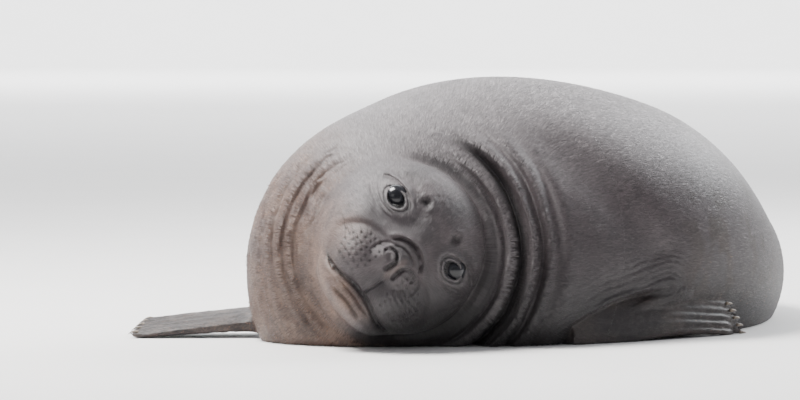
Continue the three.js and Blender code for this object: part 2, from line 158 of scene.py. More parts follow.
def round_head(p):
    """Distance from the head's axis, and the angle about it in degrees."""
    x, z = p[:, 0] - HEAD_CENTRE[0], p[:, 2] - HEAD_CENTRE[2]
    return np.hypot(x, z), np.degrees(np.arctan2(z, x))


# Torso blobs: centre, half length, half width, half height, heading, fillet
TORSO = (
    ((-43, 113, 99), 150, 187, 209, 11, 0),
    ((140, 82, 66), 112, 128, 104, 24, 60),
    ((90, 253, 169), 277, 238, 209, 40, 90),
    ((256, 356, 137), 318, 276, 229, 36, 110),
    ((398, 665, 73), 376, 215, 179, -1, 110),
    ((402, 1080, 78), 205, 118, 100, 2, 110),
)
# Folds round the head: radius, depth, width, swell on each side, first and last angle
RING_FOLDS = (
    (150, 3.4, 3.2, 0.35, -66, 60),
    (175, 19.0, 7.5, 0.34, -80, 58),
    (187, 3.0, 3.4, 0.5, -70, 40),
    (207, 7.0, 6.0, 0.55, -66, 50),
    (232, 3.6, 7.0, 0.5, -46, 36),
    (152, 4.6, 5.5, 0.3, 130, 240),
    (168, 5.4, 5.5, 0.35, 128, 232),
    (184, 4.2, 5.5, 0.35, 134, 222),
    (199, 2.6, 5.0, 0.3, 146, 210),
)
FOLD_FADE = 26.0
ARC_STEPS = 12
ARMPIT = ((226.0, 0.0), (284.0, 52.0), (400.0, 76.0))
SHOULDER = ((130.0, 320.0), (330.0, 250.0), (385.0, 100.0))
# Folds above the near fore flipper: distance from the armpit's line, depth, width
ARMPIT_FOLDS = ((0.0, 16.0, 7.0), (17.0, 2.6, 4.5), (29.0, 1.7, 4.5), (41.0, 1.0, 5.0))


def ring_folds(p):
    r, angle = round_head(p)
    near = fall(330, 420, p[:, 1]) * (r < 300)
    wave = 2.2 * noise(p, 70.0, 5)
    d = np.zeros(len(p))
    for radius, depth, width, swell, first, last in RING_FOLDS:
        a = np.where(angle < first - FOLD_FADE, angle + 360, angle)
        fade = rise(first - FOLD_FADE / 2, first + FOLD_FADE, a)
        fade = fade * fall(last - FOLD_FADE, last + FOLD_FADE / 2, a)
        off = r - radius + wave
        d += fade * depth * bell(off, width)
        d -= fade * swell * depth * (bell(off + 2 * width, 1.2 * width) + bell(off - 2 * width, 1.4 * width))
    return d * near


def arc_distance(x, z, arc):
    """Distance to a curve through the flank, and how far along it the nearest place is."""
    best = np.full(len(x), 1e9)
    along = np.zeros(len(x))
    t = np.linspace(0, 1, ARC_STEPS + 1)[:, None]
    a, b, c = (np.array(point) for point in arc)
    line = (1 - t) ** 2 * a + 2 * (1 - t) * t * b + t**2 * c
    for k, (start, step) in enumerate(zip(line, np.diff(line, axis=0))):
        s = np.clip(((x - start[0]) * step[0] + (z - start[1]) * step[1]) / (step @ step), 0, 1)
        d = np.hypot(x - start[0] - s * step[0], z - start[1] - s * step[1])
        closer = d < best
        best = np.where(closer, d, best)
        along = np.where(closer, (k + s) / ARC_STEPS, along)
    return best, along


def armpit_folds(p):
    d = np.zeros(len(p))
    m = (p[:, 1] < 420) & (p[:, 0] > 150) & (p[:, 0] < 470) & (p[:, 2] < 200)
    if not m.any():
        return d
    q = p[m]
    x, _, z = q.T
    distance, along = arc_distance(x, z, ARMPIT)
    above = rise(-4, 6, z - (ARMPIT[0][1] + 74 * rise(226, 350, x)))
    wave = 2.5 * noise(q, 45.0, 9)
    out = np.zeros(len(q))
    for off, depth, width in ARMPIT_FOLDS:
        if off:
            share = above * (rise(0.3, 0.55, along) * fall(0.8, 1, along))
        else:
            share = rise(0.1, 0.5, along) * fall(0.74, 0.98, along)
        out += share * depth * bell(distance - off + (wave if off else 0), width)
    out -= rise(0.1, 0.5, along) * 3.5 * bell(distance - 10, 8) * above
    out -= rise(0.1, 0.4, along) * 5.0 * bell(distance - 20, 13) * (1 - above)
    d[m] = out
    return d


def shoulder_hollow(p):
    """The broad shallow valley that runs from the nape down to the near fore flipper."""
    d = np.zeros(len(p))
    m = (p[:, 0] > 60) & (p[:, 0] < 470) & (p[:, 1] < 420) & (p[:, 2] < 360)
    if m.any():
        q = p[m]
        distance, along = arc_distance(q[:, 0], q[:, 2], SHOULDER)
        fade = rise(0.0, 0.35, along) * (1 - rise(0.9, 1.0, along) * 0.6)
        d[m] = fade * 12.0 * bell(distance, 32) * fall(300, 420, q[:, 1])
    return d


def body_field(p):
    d = None
    for at, length, width, height, heading, k in TORSO:
        s, c = math.sin(math.radians(heading)), math.cos(math.radians(heading))
        dx, dy = p[:, 0] - at[0], p[:, 1] - at[1]
        e = ellipsoid(dx * c - dy * s, dx * s + dy * c, p[:, 2] - at[2], width, length, height)
        d = e if d is None else union(d, e, k)
    return d + ring_folds(p) + armpit_folds(p) + shoulder_hollow(p)


def head_axes(p):
    q = p - HEAD_CENTRE
    return q @ LEFT, q @ CROWN, q @ NOSE


def eye_rho(l, u, side):
    dl = (l - side * EYE_PLACE[0]) * side
    du = u - EYE_PLACE[1]
    c, s = math.cos(EYE_TILT), math.sin(EYE_TILT)
    a = (dl * c + du * s) / EYE_LONG
    b = (du * c - dl * s) / EYE_TALL
    almond = 1 - 0.12 * np.clip(a * a, 0, 1.1)
    return np.hypot(a, b / almond), a, b


def mouth_height(m):
    a = np.abs(m)
    return -77 - 9 * rise(8, 52, a) + 9 * rise(56, 88, a)


def nostril(m, u, side):
    """Distance to a nostril's slit: short and upright inside, arched outwards at its top."""
    q = (m - NOSE_SHIFT) * side
    stem = np.hypot(q - 6.5 - 0.12 * np.maximum(-u - 14, 0), np.maximum(np.abs(u + 20) - 7, 0))
    end = np.maximum(-12.0 - u, 0) + np.maximum(q - 27.0, 0)
    arch = np.hypot(np.abs(np.hypot(q - 18.5, (u + 13.0) * 1.1) - 12.0), end)
    return np.minimum(stem, arch)


# Rows of follicles on a whisker pad: height, number, distance of the first from the middle
PIT_ROWS = ((-12, 4, 26), (-20, 5, 24), (-29, 6, 25), (-38, 7, 24), (-47, 6, 26), (-56, 5, 29), (-65, 4, 33))


def whisker_pits():
    """Follicles on both pads, in rows, as (l, u) with each one's side."""
    pits = []
    for side in (-1, 1):
        for row, (height, count, start) in enumerate(PIT_ROWS):
            slope = 1 if row < 3 else 0.2
            for i in range(count):
                m = start + 9.2 * i + (3 if row % 2 else 0)
                pits.append((MUZZLE_SHIFT + side * m, height - 0.9 * i * slope, side))
    return pits


PITS = whisker_pits()
BROWS = ((-BROW[0], BROW[1]), BROW)


def pit_share(l, u, width):
    """How deep in a follicle each point lies."""
    share = np.zeros(len(l))
    for pl, pu, _ in PITS:
        share += bell(np.hypot(l - pl, u - pu), width)
    return share


def head_field(p, detail=True):
    l, u, f = head_axes(p)
    m = l - MUZZLE_SHIFT
    d = ellipsoid(l, u - 6, f + 14, 131, 127, 128)
    d = union(d, ellipsoid(m, u + 30, f - 62, 92, 72, 62), 46)
    d = union(d, ellipsoid(m, u + 4, f - 92, 38, 27, 50), 26)
    for side in (-1, 1):
        d = union(d, ellipsoid(m - side * 36, u + 48, f - 92, 41, 37, 48), 12)
        d = union(d, ellipsoid(m - side * 19, u + 22, f - 112, 17, 21, 29), 10)
    d = union(d, ellipsoid(m, u + 98, f - 64, 64, 26, 54), 24)
    if not detail:
        return d
    near = f > 10
    out = np.zeros(len(p))
    out[near] = face_detail(p[near], l[near], u[near], f[near])
    return d + out


def face_detail(p, l, u, f):
    """Millimetres to take off the plain head, over the points in front of its middle."""
    m = l - MUZZLE_SHIFT
    wob = noise(p, 16.0, 3)
    d = np.zeros(len(l))
    for side in (-1, 1):
        rho, a, b = eye_rho(l, u, side)
        upper = rise(-0.15, 0.5, b)
        # The eye's opening, its lids, and the folds above and below them
        d += 8.0 * fall(0.86, 1.07, rho)
        d -= 1.7 * bell(rho - 1.22, 0.15) * mix(0.7, 1, upper)
        d += 1.5 * bell(rho - 1.5, 0.11) * mix(0.55, 1, upper)
        dl, du = (l - side * EYE_PLACE[0]) * side, u - EYE_PLACE[1]
        fold = np.hypot((dl - 4) / 33, (du + 1) / 19) + 0.02 * wob
        outer = rise(-30, -8, dl) * rise(2, 9, du)
        d += 2.9 * bell((fold - 1) * 19, 1.7) * outer
        d -= 1.9 * bell((fold - 1.2) * 19, 3.0) * outer
        bag = np.hypot((dl - 4) / 34, (du - 1) / 21) + 0.03 * wob
        under = rise(-22, -6, dl) * rise(6, 14, -du)
        d += 1.7 * bell((bag - 1) * 20, 1.8) * under
        d += 1.1 * bell((bag - 1.3) * 20, 2.0) * under
        d -= 1.0 * bell((bag - 0.82) * 20, 2.6) * under
        d += 2.6 * bell(rho - 3.1, 0.9)
        d += 1.4 * (bell(a - 1.3, 0.3) + bell(a + 1.3, 0.3)) * bell(b + 0.05, 0.14)
        # Brow pit and ear pit
        d += 5.0 * bell(np.hypot(l - side * BROW[0], (u - BROW[1]) * 1.1), 5.5)
        d -= 0.9 * bell(np.hypot(l - side * BROW[0], u - BROW[1]) - 11, 4)
        d += 3.0 * bell(np.hypot(l - side * EAR[0], u - EAR[1]), 5)
        # Nostril, its wing, and the edge of the whisker pad
        slit = nostril(m, u, side)
        d += 8 * bell(slit, 2.0) * rise(92, 106, f)
        d -= 1.1 * bell(slit - 6.0, 2.6) * rise(92, 106, f)
        wing = np.hypot((m - NOSE_SHIFT - side * 23) / 18, (u + 22) / 23)
        wing = 1.8 * bell(wing - 1.12, 0.12) * rise(86, 100, f)
        d += wing * rise(8, 20, side * (m - NOSE_SHIFT)) * rise(-36, -16, u)
        pad = np.hypot((m - side * 38) / 44, (u + 45) / 37)
        d += 3.8 * bell(pad - 1.12, 0.15) * rise(-62, -30, u) * rise(50, 70, f) * rise(4, 24, side * m)
    # Mouth, upper lip and its cleft
    am = np.abs(m)
    lip = u - mouth_height(m) + 1.2 * wob
    d += 8.5 * bell(lip, mix(2.3, 3.2, rise(30, 70, am))) * fall(42, 72, am) * rise(26, 40, f)
    d -= 1.6 * bell(lip + 9, 5) * fall(56, 80, am) * rise(50, 66, f)
    d += 2.4 * bell(m - 6 - 0.1 * (u + 60), 1.5) * rise(-80, -74, u) * fall(-44, -38, u) * rise(80, 100, f)
    # Arched folds over the nose
    arc = np.hypot(m / 31, (u + 2) / 25)
    d += 5.6 * bell(arc - 1 + 0.03 * wob, 0.085) * rise(2, 12, u) * rise(60, 80, f)
    d -= 2.6 * bell(arc - 1.22, 0.11) * rise(2, 12, u) * rise(60, 80, f)
    d += 2.4 * bell(np.hypot(m / 19, (u - 1) / 10) - 1, 0.16) * rise(-2, 5, u) * rise(86, 100, f)
    # Chin fold, and the cheek's fine folds
    chin = u + 104 - 3 * bell(m, 22) + 1.4 * wob
    d += 4.6 * bell(chin, 2.8) * fall(20, 34, am) * rise(40, 60, f)
    d -= 1.8 * bell(chin - 7, 4) * fall(20, 40, am) * rise(40, 60, f)
    d += 1.8 * bell(chin - 13, 2.2) * rise(-44, -20, -am) * rise(40, 60, f)
    rows = np.sin(2 * np.pi * (u + 0.22 * l + 2.0 * wob) / 8.5)
    d += 1.0 * rows * rise(34, 46, l) * fall(78, 92, l) * bell(u + 42, 20) * rise(60, 76, f)
    # Follicles and grain
    pads = rise(-74, -68, u) * fall(-12, -6, u) * (f > 70)
    on = pads > 0
    d[on] += 1.1 * pit_share(l[on], u[on], 2.0) * pads[on]
    outer = np.hypot(m / 70, (u + 40) / 60)
    d += 0.35 * noise(p * np.array([1.0, 0.4, 1.0]), 5.0, 21) * rise(1.2, 1.6, outer)
    return d * rise(20, 60, f)


DIGITS = (-0.82, -0.42, -0.02, 0.38, 0.78)


def axes(along, out):
    a = np.array(along, float)
    a /= np.linalg.norm(a)
    c = np.array(out, float)
    c = c - a * (c @ a)
    c /= np.linalg.norm(c)
    return a, np.cross(c, a), c


def digit_ridge(across):
    return sum(bell(across - at, 0.13) for at in DIGITS)


class Flipper:
    """A flat limb that starts at root, lies along and faces out, with its sizes at root and tip."""

    def __init__(self, root, along, out, length, slant, widths, thicks, ridge, bend, sink=0.0, scallop=9.0):
        self.root = np.array(root, float)
        self.along, self.across, self.out = axes(along, out)
        self.length, self.slant = length, slant
        self.widths, self.thicks = widths, thicks
        self.ridge, self.bend, self.sink, self.scallop = ridge, bend, sink, scallop

    def local(self, p):
        q = p - self.root
        return q @ self.along, q @ self.across, q @ self.out

    def reach(self, across):
        edge = self.length * (1 - self.slant * (0.5 - 0.5 * across))
        return edge + self.scallop * (digit_ridge(across) - 0.6)

    def curve(self, a):
        t = a / self.length
        return self.bend * t**2 - self.sink * (1 - t) ** 2

    def half(self, s):
        return mix(*self.widths, rise(0, 0.75, s)) / 2

    def thick(self, s, across):
        edge = np.sqrt(np.maximum(1 - across**2, 0))
        tip = rise(0.35, 1, s)
        ridge = tip * (digit_ridge(across) - 0.45) * self.ridge * fall(0.93, 1, s)
        t = mix(*self.thicks, np.clip(s, 0, 1) ** 0.8) / 2
        return np.maximum((t * (0.35 + 0.65 * edge) + ridge) * (1 - 0.4 * rise(0.9, 1, s)), 2.4)

    def field(self, p):
        a, b, c = self.local(p)
        s = np.clip(a / self.length, 0, 1)
        half = self.half(s)
        across = np.clip(b / half, -1, 1)
        dc = np.abs(c - self.curve(a)) - self.thick(s, across)
        db = np.abs(b) - half
        da = np.maximum(a - self.reach(across), -a)
        outside = np.sqrt(np.maximum(dc, 0) ** 2 + np.maximum(db, 0) ** 2 + np.maximum(da, 0) ** 2)
        return outside + np.minimum(np.maximum(np.maximum(dc, db), da), 0)

    def place(self, a, b, c):
        return self.root + self.along * a + self.across * b + self.out * c

    def near(self, p, margin=40):
        a, b, c = self.local(p)
        w = max(self.widths) / 2
        ok = (a > -margin) & (a < self.length * 1.1 + margin) & (np.abs(b) < w + margin)
        return ok & (np.abs(c - self.curve(np.clip(a, 0, self.length))) < max(self.thicks) / 2 + margin)


NEAR_FORE = Flipper(
    root=(262, 12, 47), along=(0.76, 0.65, -0.05), out=(0.62, -0.7, 0.35), length=330, slant=-0.07,
    widths=(96, 56), thicks=(50, 14), ridge=4.5, bend=-20, sink=44,
)
FAR_FORE = Flipper(
    root=(-112, 214, 30), along=(-1, -0.06, -0.03), out=(-0.03, -0.14, 1), length=296, slant=0.1,
    widths=(100, 110), thicks=(46, 12), ridge=3.5, bend=-12,
)
HINDS = [
    Flipper(
        root=(402 + side * 38, 1205, 42), along=(side * 0.3, 1, -0.06), out=(-side * 0.6, 0.1, 0.8),
        length=285, slant=0, widths=(66, 150), thicks=(58, 11), ridge=3.2, bend=-6, scallop=10,
    )
    for side in (-1, 1)
]
# Each flipper with the width of its fillet
FLIPPER_MARGIN = 12
FLIPPERS = [(NEAR_FORE, 4), (FAR_FORE, 26), (HINDS[0], 24), (HINDS[1], 24)]


def tail_field(p):
    start, end = np.array([402.0, 1185.0, 50.0]), np.array([404.0, 1312.0, 30.0])
    d = end - start
    t = np.clip(((p - start) @ d) / (d @ d), 0, 1)
    q = p - start - t[:, None] * d
    r = mix(32.0, 15.0, t)
    return np.sqrt(q[:, 0] ** 2 + q[:, 1] ** 2 + (q[:, 2] / 0.6) ** 2) - r


def field(p, detail=True):
    """Signed distance, roughly, to the skin, in millimetres."""
    d = body_field(p)
    h = np.full(len(p), 1e3)
    m = np.linalg.norm(p - HEAD_CENTRE, axis=1) < 220
    if m.any():
        h[m] = head_field(p[m], detail)
        angle = round_head(p[m])[1]
        right = rise(-112, -80, angle) * fall(70, 100, angle)
        k = mix(28.0, 7.0, right)
        crease = mix(0.4, 4.6, right) * bell(h[m] - d[m], 6.0)
        d[m] = union(d[m], h[m], k) + crease
    for flipper, k in FLIPPERS:
        m = flipper.near(p)
        if m.any():
            d[m] = union(d[m], flipper.field(p[m]), k)
    m = (p[:, 1] > 1100) & (p[:, 1] < 1400)
    if m.any():
        d[m] = union(d[m], tail_field(p[m]), 22)
    return np.maximum(d + COAT_DEPTH, FLOOR_GAP - p[:, 2])


# Skin mesh: a dual grid over the field, finer on the head
NET_CHUNK = 400000


def surface_net(low, high, h):
    """Points and quads of the field's surface on a grid of size h, worked out near the surface alone."""
    count = np.ceil((high - low) / h).astype(int) + 1
    coarse_step = 3
    coarse_count = count // coarse_step + 2
    ax = [low[i] + np.arange(coarse_count[i]) * h * coarse_step for i in range(3)]
    points = np.stack(np.meshgrid(*ax, indexing="ij"), -1).reshape(-1, 3)
    coarse = field(points, False).reshape(coarse_count)
    values = np.repeat(np.repeat(np.repeat(coarse, coarse_step, 0), coarse_step, 1), coarse_step, 2)
    half = coarse_step // 2
    values = values[half : half + count[0], half : half + count[1], half : half + count[2]].copy()
    band = np.argwhere(np.abs(values) < h * coarse_step * 1.6 + 8)
    for start in range(0, len(band), NET_CHUNK):
        part = band[start : start + NET_CHUNK]
        values[tuple(part.T)] = field(low + part * h, False)
    inside = values < 0
    corners = np.zeros(count - 1, np.int8)
    offsets = [(i, j, k) for i in (0, 1) for j in (0, 1) for k in (0, 1)]
    for i, j, k in offsets:
        corners += inside[i : count[0] - 1 + i, j : count[1] - 1 + j, k : count[2] - 1 + k]
    cells = np.argwhere((corners > 0) & (corners < 8))
    index = np.full(count - 1, -1, np.int64)
    index[tuple(cells.T)] = np.arange(len(cells))
    total = np.zeros((len(cells), 3))
    number = np.zeros(len(cells))
    for a in offsets:
        for axis in range(3):
            if a[axis]:
                continue
            b = list(a)
            b[axis] = 1
            pa, pb = cells + np.array(a), cells + np.array(b)
            va, vb = values[tuple(pa.T)], values[tuple(pb.T)]
            cross = (va < 0) != (vb < 0)
            t = np.where(cross, va / np.where(va == vb, 1, va - vb), 0)
            total += np.where(cross[:, None], pa + t[:, None] * (pb - pa), 0)
            number += cross
    verts = low + total / number[:, None] * h
    quads = []
    for axis in range(3):
        o1, o2 = [(1, 2), (2, 0), (0, 1)][axis]
        first, second = [slice(None)] * 3, [slice(None)] * 3
        first[axis], second[axis] = slice(0, -1), slice(1, None)
        a, b = inside[tuple(first)], inside[tuple(second)]
        edges = np.argwhere(a != b)
        ok = (edges[:, o1] > 0) & (edges[:, o2] > 0)
        ok &= (edges[:, o1] < count[o1] - 1) & (edges[:, o2] < count[o2] - 1)
        edges = edges[ok]
        flip = ~a[tuple(edges.T)]
        ring = []
        for d1, d2 in ((-1, -1), (0, -1), (0, 0), (-1, 0)):
            cell = edges.copy()
            cell[:, o1] += d1
            cell[:, o2] += d2
            ring.append(index[tuple(cell.T)])
        q = np.stack(ring, 1)
        q[flip] = q[flip][:, ::-1]
        quads.append(q)
    return verts, np.concatenate(quads)


def gradient(p, e=0.3):
    base = field(p)
    g = np.stack([field(p + e * np.eye(3)[i]) - base for i in range(3)], 1) / e
    return base, g


def settle(p, rounds=3, most=2.5):
    """Points moved onto the field's surface, by at most a few millimetres a round."""
    for _ in range(rounds):
        d, g = gradient(p)
        step = d[:, None] * g / np.maximum((g**2).sum(1), 0.3)[:, None]
        size = np.linalg.norm(step, axis=1, keepdims=True)
        p = p - step * np.minimum(1, most / np.maximum(size, 1e-9))
    return p


def refine(bm, test):
    """Halve the edges where the test holds, and settle the new points."""
    co = np.array([v.co for v in bm.verts])
    pick = test(co)
    bm.verts.ensure_lookup_table()
    edges = [e for e in bm.edges if pick[e.verts[0].index] and pick[e.verts[1].index]]
    bmesh.ops.subdivide_edges(bm, edges=edges, cuts=1, use_grid_fill=True)
    bm.verts.index_update()
    bm.verts.ensure_lookup_table()
    new = np.array([v.co for v in bm.verts])
    fresh = np.arange(len(co), len(new))
    moved = settle(new[fresh], 2, 1.5)
    for i, c in zip(fresh, moved):
        bm.verts[i].co = c


def in_face(co):
    return (np.linalg.norm(co - HEAD_CENTRE, axis=1) < 154) & (head_axes(co)[2] > 18)


def nearest_rho(l, u):
    """Distance to the nearer eye, in half widths of its opening."""
    return np.minimum(eye_rho(l, u, -1)[0], eye_rho(l, u, 1)[0])


def near_features(co):
    l, u, f = head_axes(co)
    m = l - MUZZLE_SHIFT
    eye = nearest_rho(l, u) < 2.2
    nose = (np.abs(m) < 36) & (u > -92) & (u < 30)
    mouth = (np.abs(u - mouth_height(m)) < 9) & (np.abs(m) < 88)
    return ((f > 55) & (eye | nose)) | ((f > 14) & mouth)


def at_eyes(co):
    l, u, f = head_axes(co)
    return (f > 55) & (nearest_rho(l, u) < 1.75)


def in_folds(co):
    x, y, z = co.T
    collar = (round_head(co)[0] < 240) & (y < 150)
    side = (x > 180) & (x < 560) & (y < 330) & (z < 170)
    far = (x < -190) & (z < 110)
    hind = y > 1300
    return collar | side | far | hind


NET_LOW = np.array([-430.0, -180.0, -6.0])
NET_HIGH = np.array([640.0, 1540.0, 410.0])
verts, quads = surface_net(NET_LOW, NET_HIGH, GRID)
verts = settle(verts, 3)

bm = bmesh.new()
for v in verts:
    bm.verts.new(v)
bm.verts.ensure_lookup_table()
bm.verts.index_update()
for q in quads:
    ring = list(dict.fromkeys(q.tolist()))
    if len(ring) > 2:
        try:
            bm.faces.new([bm.verts[i] for i in ring])
        except ValueError:
            pass
refine(bm, in_folds)
refine(bm, in_face)
refine(bm, near_features)
refine(bm, at_eyes)
bmesh.ops.delete(bm, geom=[v for v in bm.verts if not v.link_faces], context="VERTS")
bm.verts.index_update()
skin_mesh = bpy.data.meshes.new("skin")
bm.to_mesh(skin_mesh)
bm.free()


def read_vectors(items, key):
    """Places or normals of a mesh's points, as rows."""
    out = np.empty(len(items) * 3)
    items.foreach_get(key, out)
    return out.reshape(-1, 3)


# Spine, for the lie of the coat and for its unwrap
SPINE_BLEND = 34.0
SPINE_STEPS = 12
SPINE_CHUNK = 40000
SPINE = ((0, 60, 140), (38, 180, 142), (130, 290, 145), (245, 415, 138), (345, 580, 110))
SPINE += ((394, 780, 88), (402, 980, 74), (403, 1130, 60), (404, 1320, 40))
SPINE = np.array(SPINE, float)
share = np.linspace(0, 1, SPINE_STEPS, endpoint=False)[:, None]
spine_line = [start + (end - start) * share for start, end in zip(SPINE, SPINE[1:])]
spine_line = np.vstack(spine_line + [SPINE[-1:]])
for _ in range(SPINE_STEPS):
    spine_line[1:-1] = (spine_line[:-2] + 2 * spine_line[1:-1] + spine_line[2:]) / 4
spine_way = np.concatenate([[0], np.cumsum(np.linalg.norm(np.diff(spine_line, axis=0), axis=1))])
spine_dir = np.gradient(spine_line, axis=0)
spine_dir /= np.linalg.norm(spine_dir, axis=1, keepdims=True)


def on_spine(p):
    """How far along the spine each point is, how far round it, and which way the spine runs there."""
    along, turn, forward = np.empty(len(p)), np.empty(len(p)), np.empty((len(p), 3))
    for start in range(0, len(p), SPINE_CHUNK):
        part = slice(start, start + SPINE_CHUNK)
        q = p[part]
        far = ((q[:, None, :] - spine_line[None]) ** 2).sum(2)
        share = np.exp(-(far - far.min(1, keepdims=True)) / (2 * SPINE_BLEND**2))
        share /= share.sum(1, keepdims=True)
        ahead = share @ spine_dir
        ahead /= np.linalg.norm(ahead, axis=1, keepdims=True)
        off = q - share @ spine_line
        side = np.cross(ahead, np.array([0, 0, 1.0]))
        side /= np.linalg.norm(side, axis=1, keepdims=True)
        along[part] = share @ spine_way + (off * ahead).sum(1)
        turn[part] = np.arctan2((off * side).sum(1), off[:, 2])
        forward[part] = ahead
    return along, turn, forward


def regions(p):
    """How much each point belongs to the face, and which flipper, if any, it is on."""
    l, u, f = head_axes(p)
    face = fall(134, 150, np.hypot(l, u)) * rise(-5, 30, f)
    flipper = np.zeros(len(p))
    for limb, _ in FLIPPERS:
        m = limb.near(p, FLIPPER_MARGIN)
        if m.any():
            d = limb.field(p[m])
            b = body_field(p[m])
            flipper[m] = np.maximum(flipper[m], fall(2, 9, d) * rise(-8, 5, b))
    return face, flipper


# Colours of the hide, as linear RGB
GREY = np.array([0.056, 0.045, 0.049])
DARK = np.array([0.015, 0.0125, 0.014])
PALE = np.array([0.200, 0.188, 0.194])
TAN = np.array([0.150, 0.096, 0.073])
BROWN = np.array([0.029, 0.019, 0.016])
FACE_DARK = np.array([0.032, 0.025, 0.028])
FACE_GREY = np.array([0.068, 0.054, 0.058])
MUZZLE_GREY = np.array([0.042, 0.037, 0.040])
NOSE_PINK = np.array([0.20, 0.155, 0.14])
LIMB_DARK = np.array([0.017, 0.013, 0.014])
LIMB_GREY = np.array([0.038, 0.029, 0.027])


def markings(p, n):
    """Colour of skin and coat at each point, with sand and wetness, as linear RGB and masks."""
    l, u, f = head_axes(p)
    m = l - MUZZLE_SHIFT
    x, y, z = p.T
    r, angle = round_head(p)
    face, flipper = regions(p)
    big = noise(p, 110.0, 1)
    mid = noise(p, 34.0, 2)
    small = noise(p, 11.0, 4)
    height = z + 18 * big + 6 * mid
    # The trunk: darker towards the bottom, partly its own colour and partly painted shade; paler on the back
    # and most where the skin faces up, a painted sheen; mottled brown on the rump
    colour = blend(DARK, GREY, rise(10, 230, height))
    colour = blend(colour, PALE, 0.72 * rise(225, 380, height + 55 * n[:, 2]))
    rump = rise(370, 480, x) * rise(40, 180, y)
    speckle = noise(p * np.array([1, 1, 0.55]), 15.0, 23)
    mottle = rise(0.05, 0.4, 0.7 * mid + 0.7 * speckle) * 0.85 * rump * fall(190, 290, z)
    colour = blend(colour, BROWN, mottle)
    flank = rise(0.25, 0.7, mid * 0.6 + small * 0.7) * 0.22
    colour = blend(colour, DARK, flank * (1 - face))
    # The sandy throat, painted shade under it, and painted shade low on the near flank
    turned = np.where(angle < -90, angle + 360, angle)
    throat = rise(105, 150, turned) * fall(250, 285, turned)
    throat = throat * fall(250, 330, r) * fall(180, 330, y) * (1 - face)
    # Painted shade low on the near flank, towards the floor
    low = fall(15, 120, z) * rise(60, 200, x)
    colour = blend(colour, DARK * 0.8, 0.55 * low)
    under = fall(20, 80, z) * rise(-70, -20, x) * fall(0, 60, y)
    under = under * fall(130, 210, x)
    colour = blend(colour, TAN, throat * (0.55 + 0.25 * mid))
    colour = blend(colour, DARK * 0.8, 0.75 * under)
    # The folds of the collar: painted shade in their valley and groove, and paler hair on the rim
    valley = bell(r - 176, 9) * rise(-100, -60, angle) * fall(50, 75, angle) * (y < 200)
    groove = bell(r - 138, 5) * rise(-100, -60, angle) * fall(60, 90, angle) * (y < 60)
    rim = bell(r - 160, 6) * rise(-90, -50, angle) * fall(50, 75, angle) * (y < 90)
    colour = blend(colour, DARK * 0.5, 0.75 * valley + 0.6 * groove)
    colour = blend(colour, PALE, 0.26 * rim)
    # The face: painted light over the brow and its upper left, a tan chin, a tan cheek that is partly painted
    # light, and painted shade low on its right and under the muzzle
    chin = rise(76, 92, -u) * rise(-10, 25, f) * fall(10, 60, l)
    cheek = rise(30, 90, -l) * rise(-10, 50, -u)
    lowside_shade = fall(35, 150, z - 0.35 * l) * rise(-90, -20, x)
    shaded = fall(22, 88, z) * rise(-75, -25, x)
    patches = rise(0.15, 0.6, noise(p, 26.0, 24) + 0.4 * small)
    # Mouth and nose, with painted shade in the chin's crease and along the mouth's line
    furrow = bell(u + 104 - 3 * bell(m, 22), 3.0) * fall(18, 32, np.abs(m)) * rise(40, 60, f)
    lipline = bell(u - mouth_height(m), 2.8) * fall(64, 86, np.abs(m)) * rise(20, 40, f)
    muzzle = bell(np.hypot(m / 62, (u + 34) / 46), 1.0) * rise(60, 90, f)
    septum = bell((m - NOSE_SHIFT) / 4.0, 1.0) * rise(-42, -30, u) * fall(-2, 6, u) * rise(90, 105, f)
    layers = [
        # Painted light over the brow and the upper left of the face
        (PALE, 0.30 * rise(60, 130, r) * rise(20, 110, angle) * fall(150, 200, angle)),
        (TAN * 1.05, 0.8 * chin * (0.8 + 0.35 * small)),
        (TAN, 0.6 * cheek),
        (DARK, 0.8 * lowside_shade),
        (DARK * 0.4, 0.85 * shaded),
        (DARK * 1.3, 0.4 * patches * (1 - chin)),
        (BROWN * 0.7, 0.75 * furrow),
        (DARK * 0.25, 0.9 * lipline),
        (MUZZLE_GREY, 0.42 * muzzle),
        (NOSE_PINK, 0.38 * septum),
    ]
    # Rings round the eyes, nostrils, brow pits and follicles: darkest inside each eye's opening, pale rings
    # on the lid's rim and outside it, and painted shade in the groove round the lid, in the nostrils, the
    # brow pits and the follicles
    ahead = f > 40
    for side in (-1, 1):
        rho = eye_rho(l, u, side)[0]
        brow = np.hypot(l - side * BROW[0], (u - BROW[1]) * 1.1)
        layers += [
            (DARK * 0.3, ahead * fall(1.02, 1.2, rho)),
            (PALE, 0.28 * ahead * bell(rho - 1.28, 0.12)),
            (DARK * 0.6, 0.6 * ahead * bell(rho - 1.58, 0.13)),
            (PALE, 0.25 * ahead * bell(rho - 1.9, 0.22)),
            (DARK * 0.12, bell(nostril(m, u, side), 2.3) * rise(88, 100, f)),
            (DARK * 0.5, 0.75 * bell(brow, 6.5) * ahead),
        ]
    on = (face > 0.5) & (u > -76) & (u < -4) & (f > 70)
    pits = np.zeros(len(p))
    pits[on] = pit_share(l[on], u[on], 1.9)
    pits = np.clip(pits, 0, 1) * mix(0.85, 0.45, rise(0, 20, m))
    layers.append((DARK * 0.25, pits))
    ground = blend(FACE_DARK, FACE_GREY, rise(-0.6, 0.8, mid))
    for tone, share in layers:
        ground = blend(ground, tone, share)
    colour = blend(colour, ground, face)
    # The dark flippers and the near one's arm, with painted shade in the armpit's crease and along the line
    # where the flipper meets the flank
    limb = blend(LIMB_DARK, LIMB_GREY, rise(-0.5, 0.7, mid))
    fold, along = arc_distance(x, z, ARMPIT)
    fold = bell(fold, 5) * rise(0.1, 0.4, along) * fall(0.7, 0.95, along) * (y < 330)
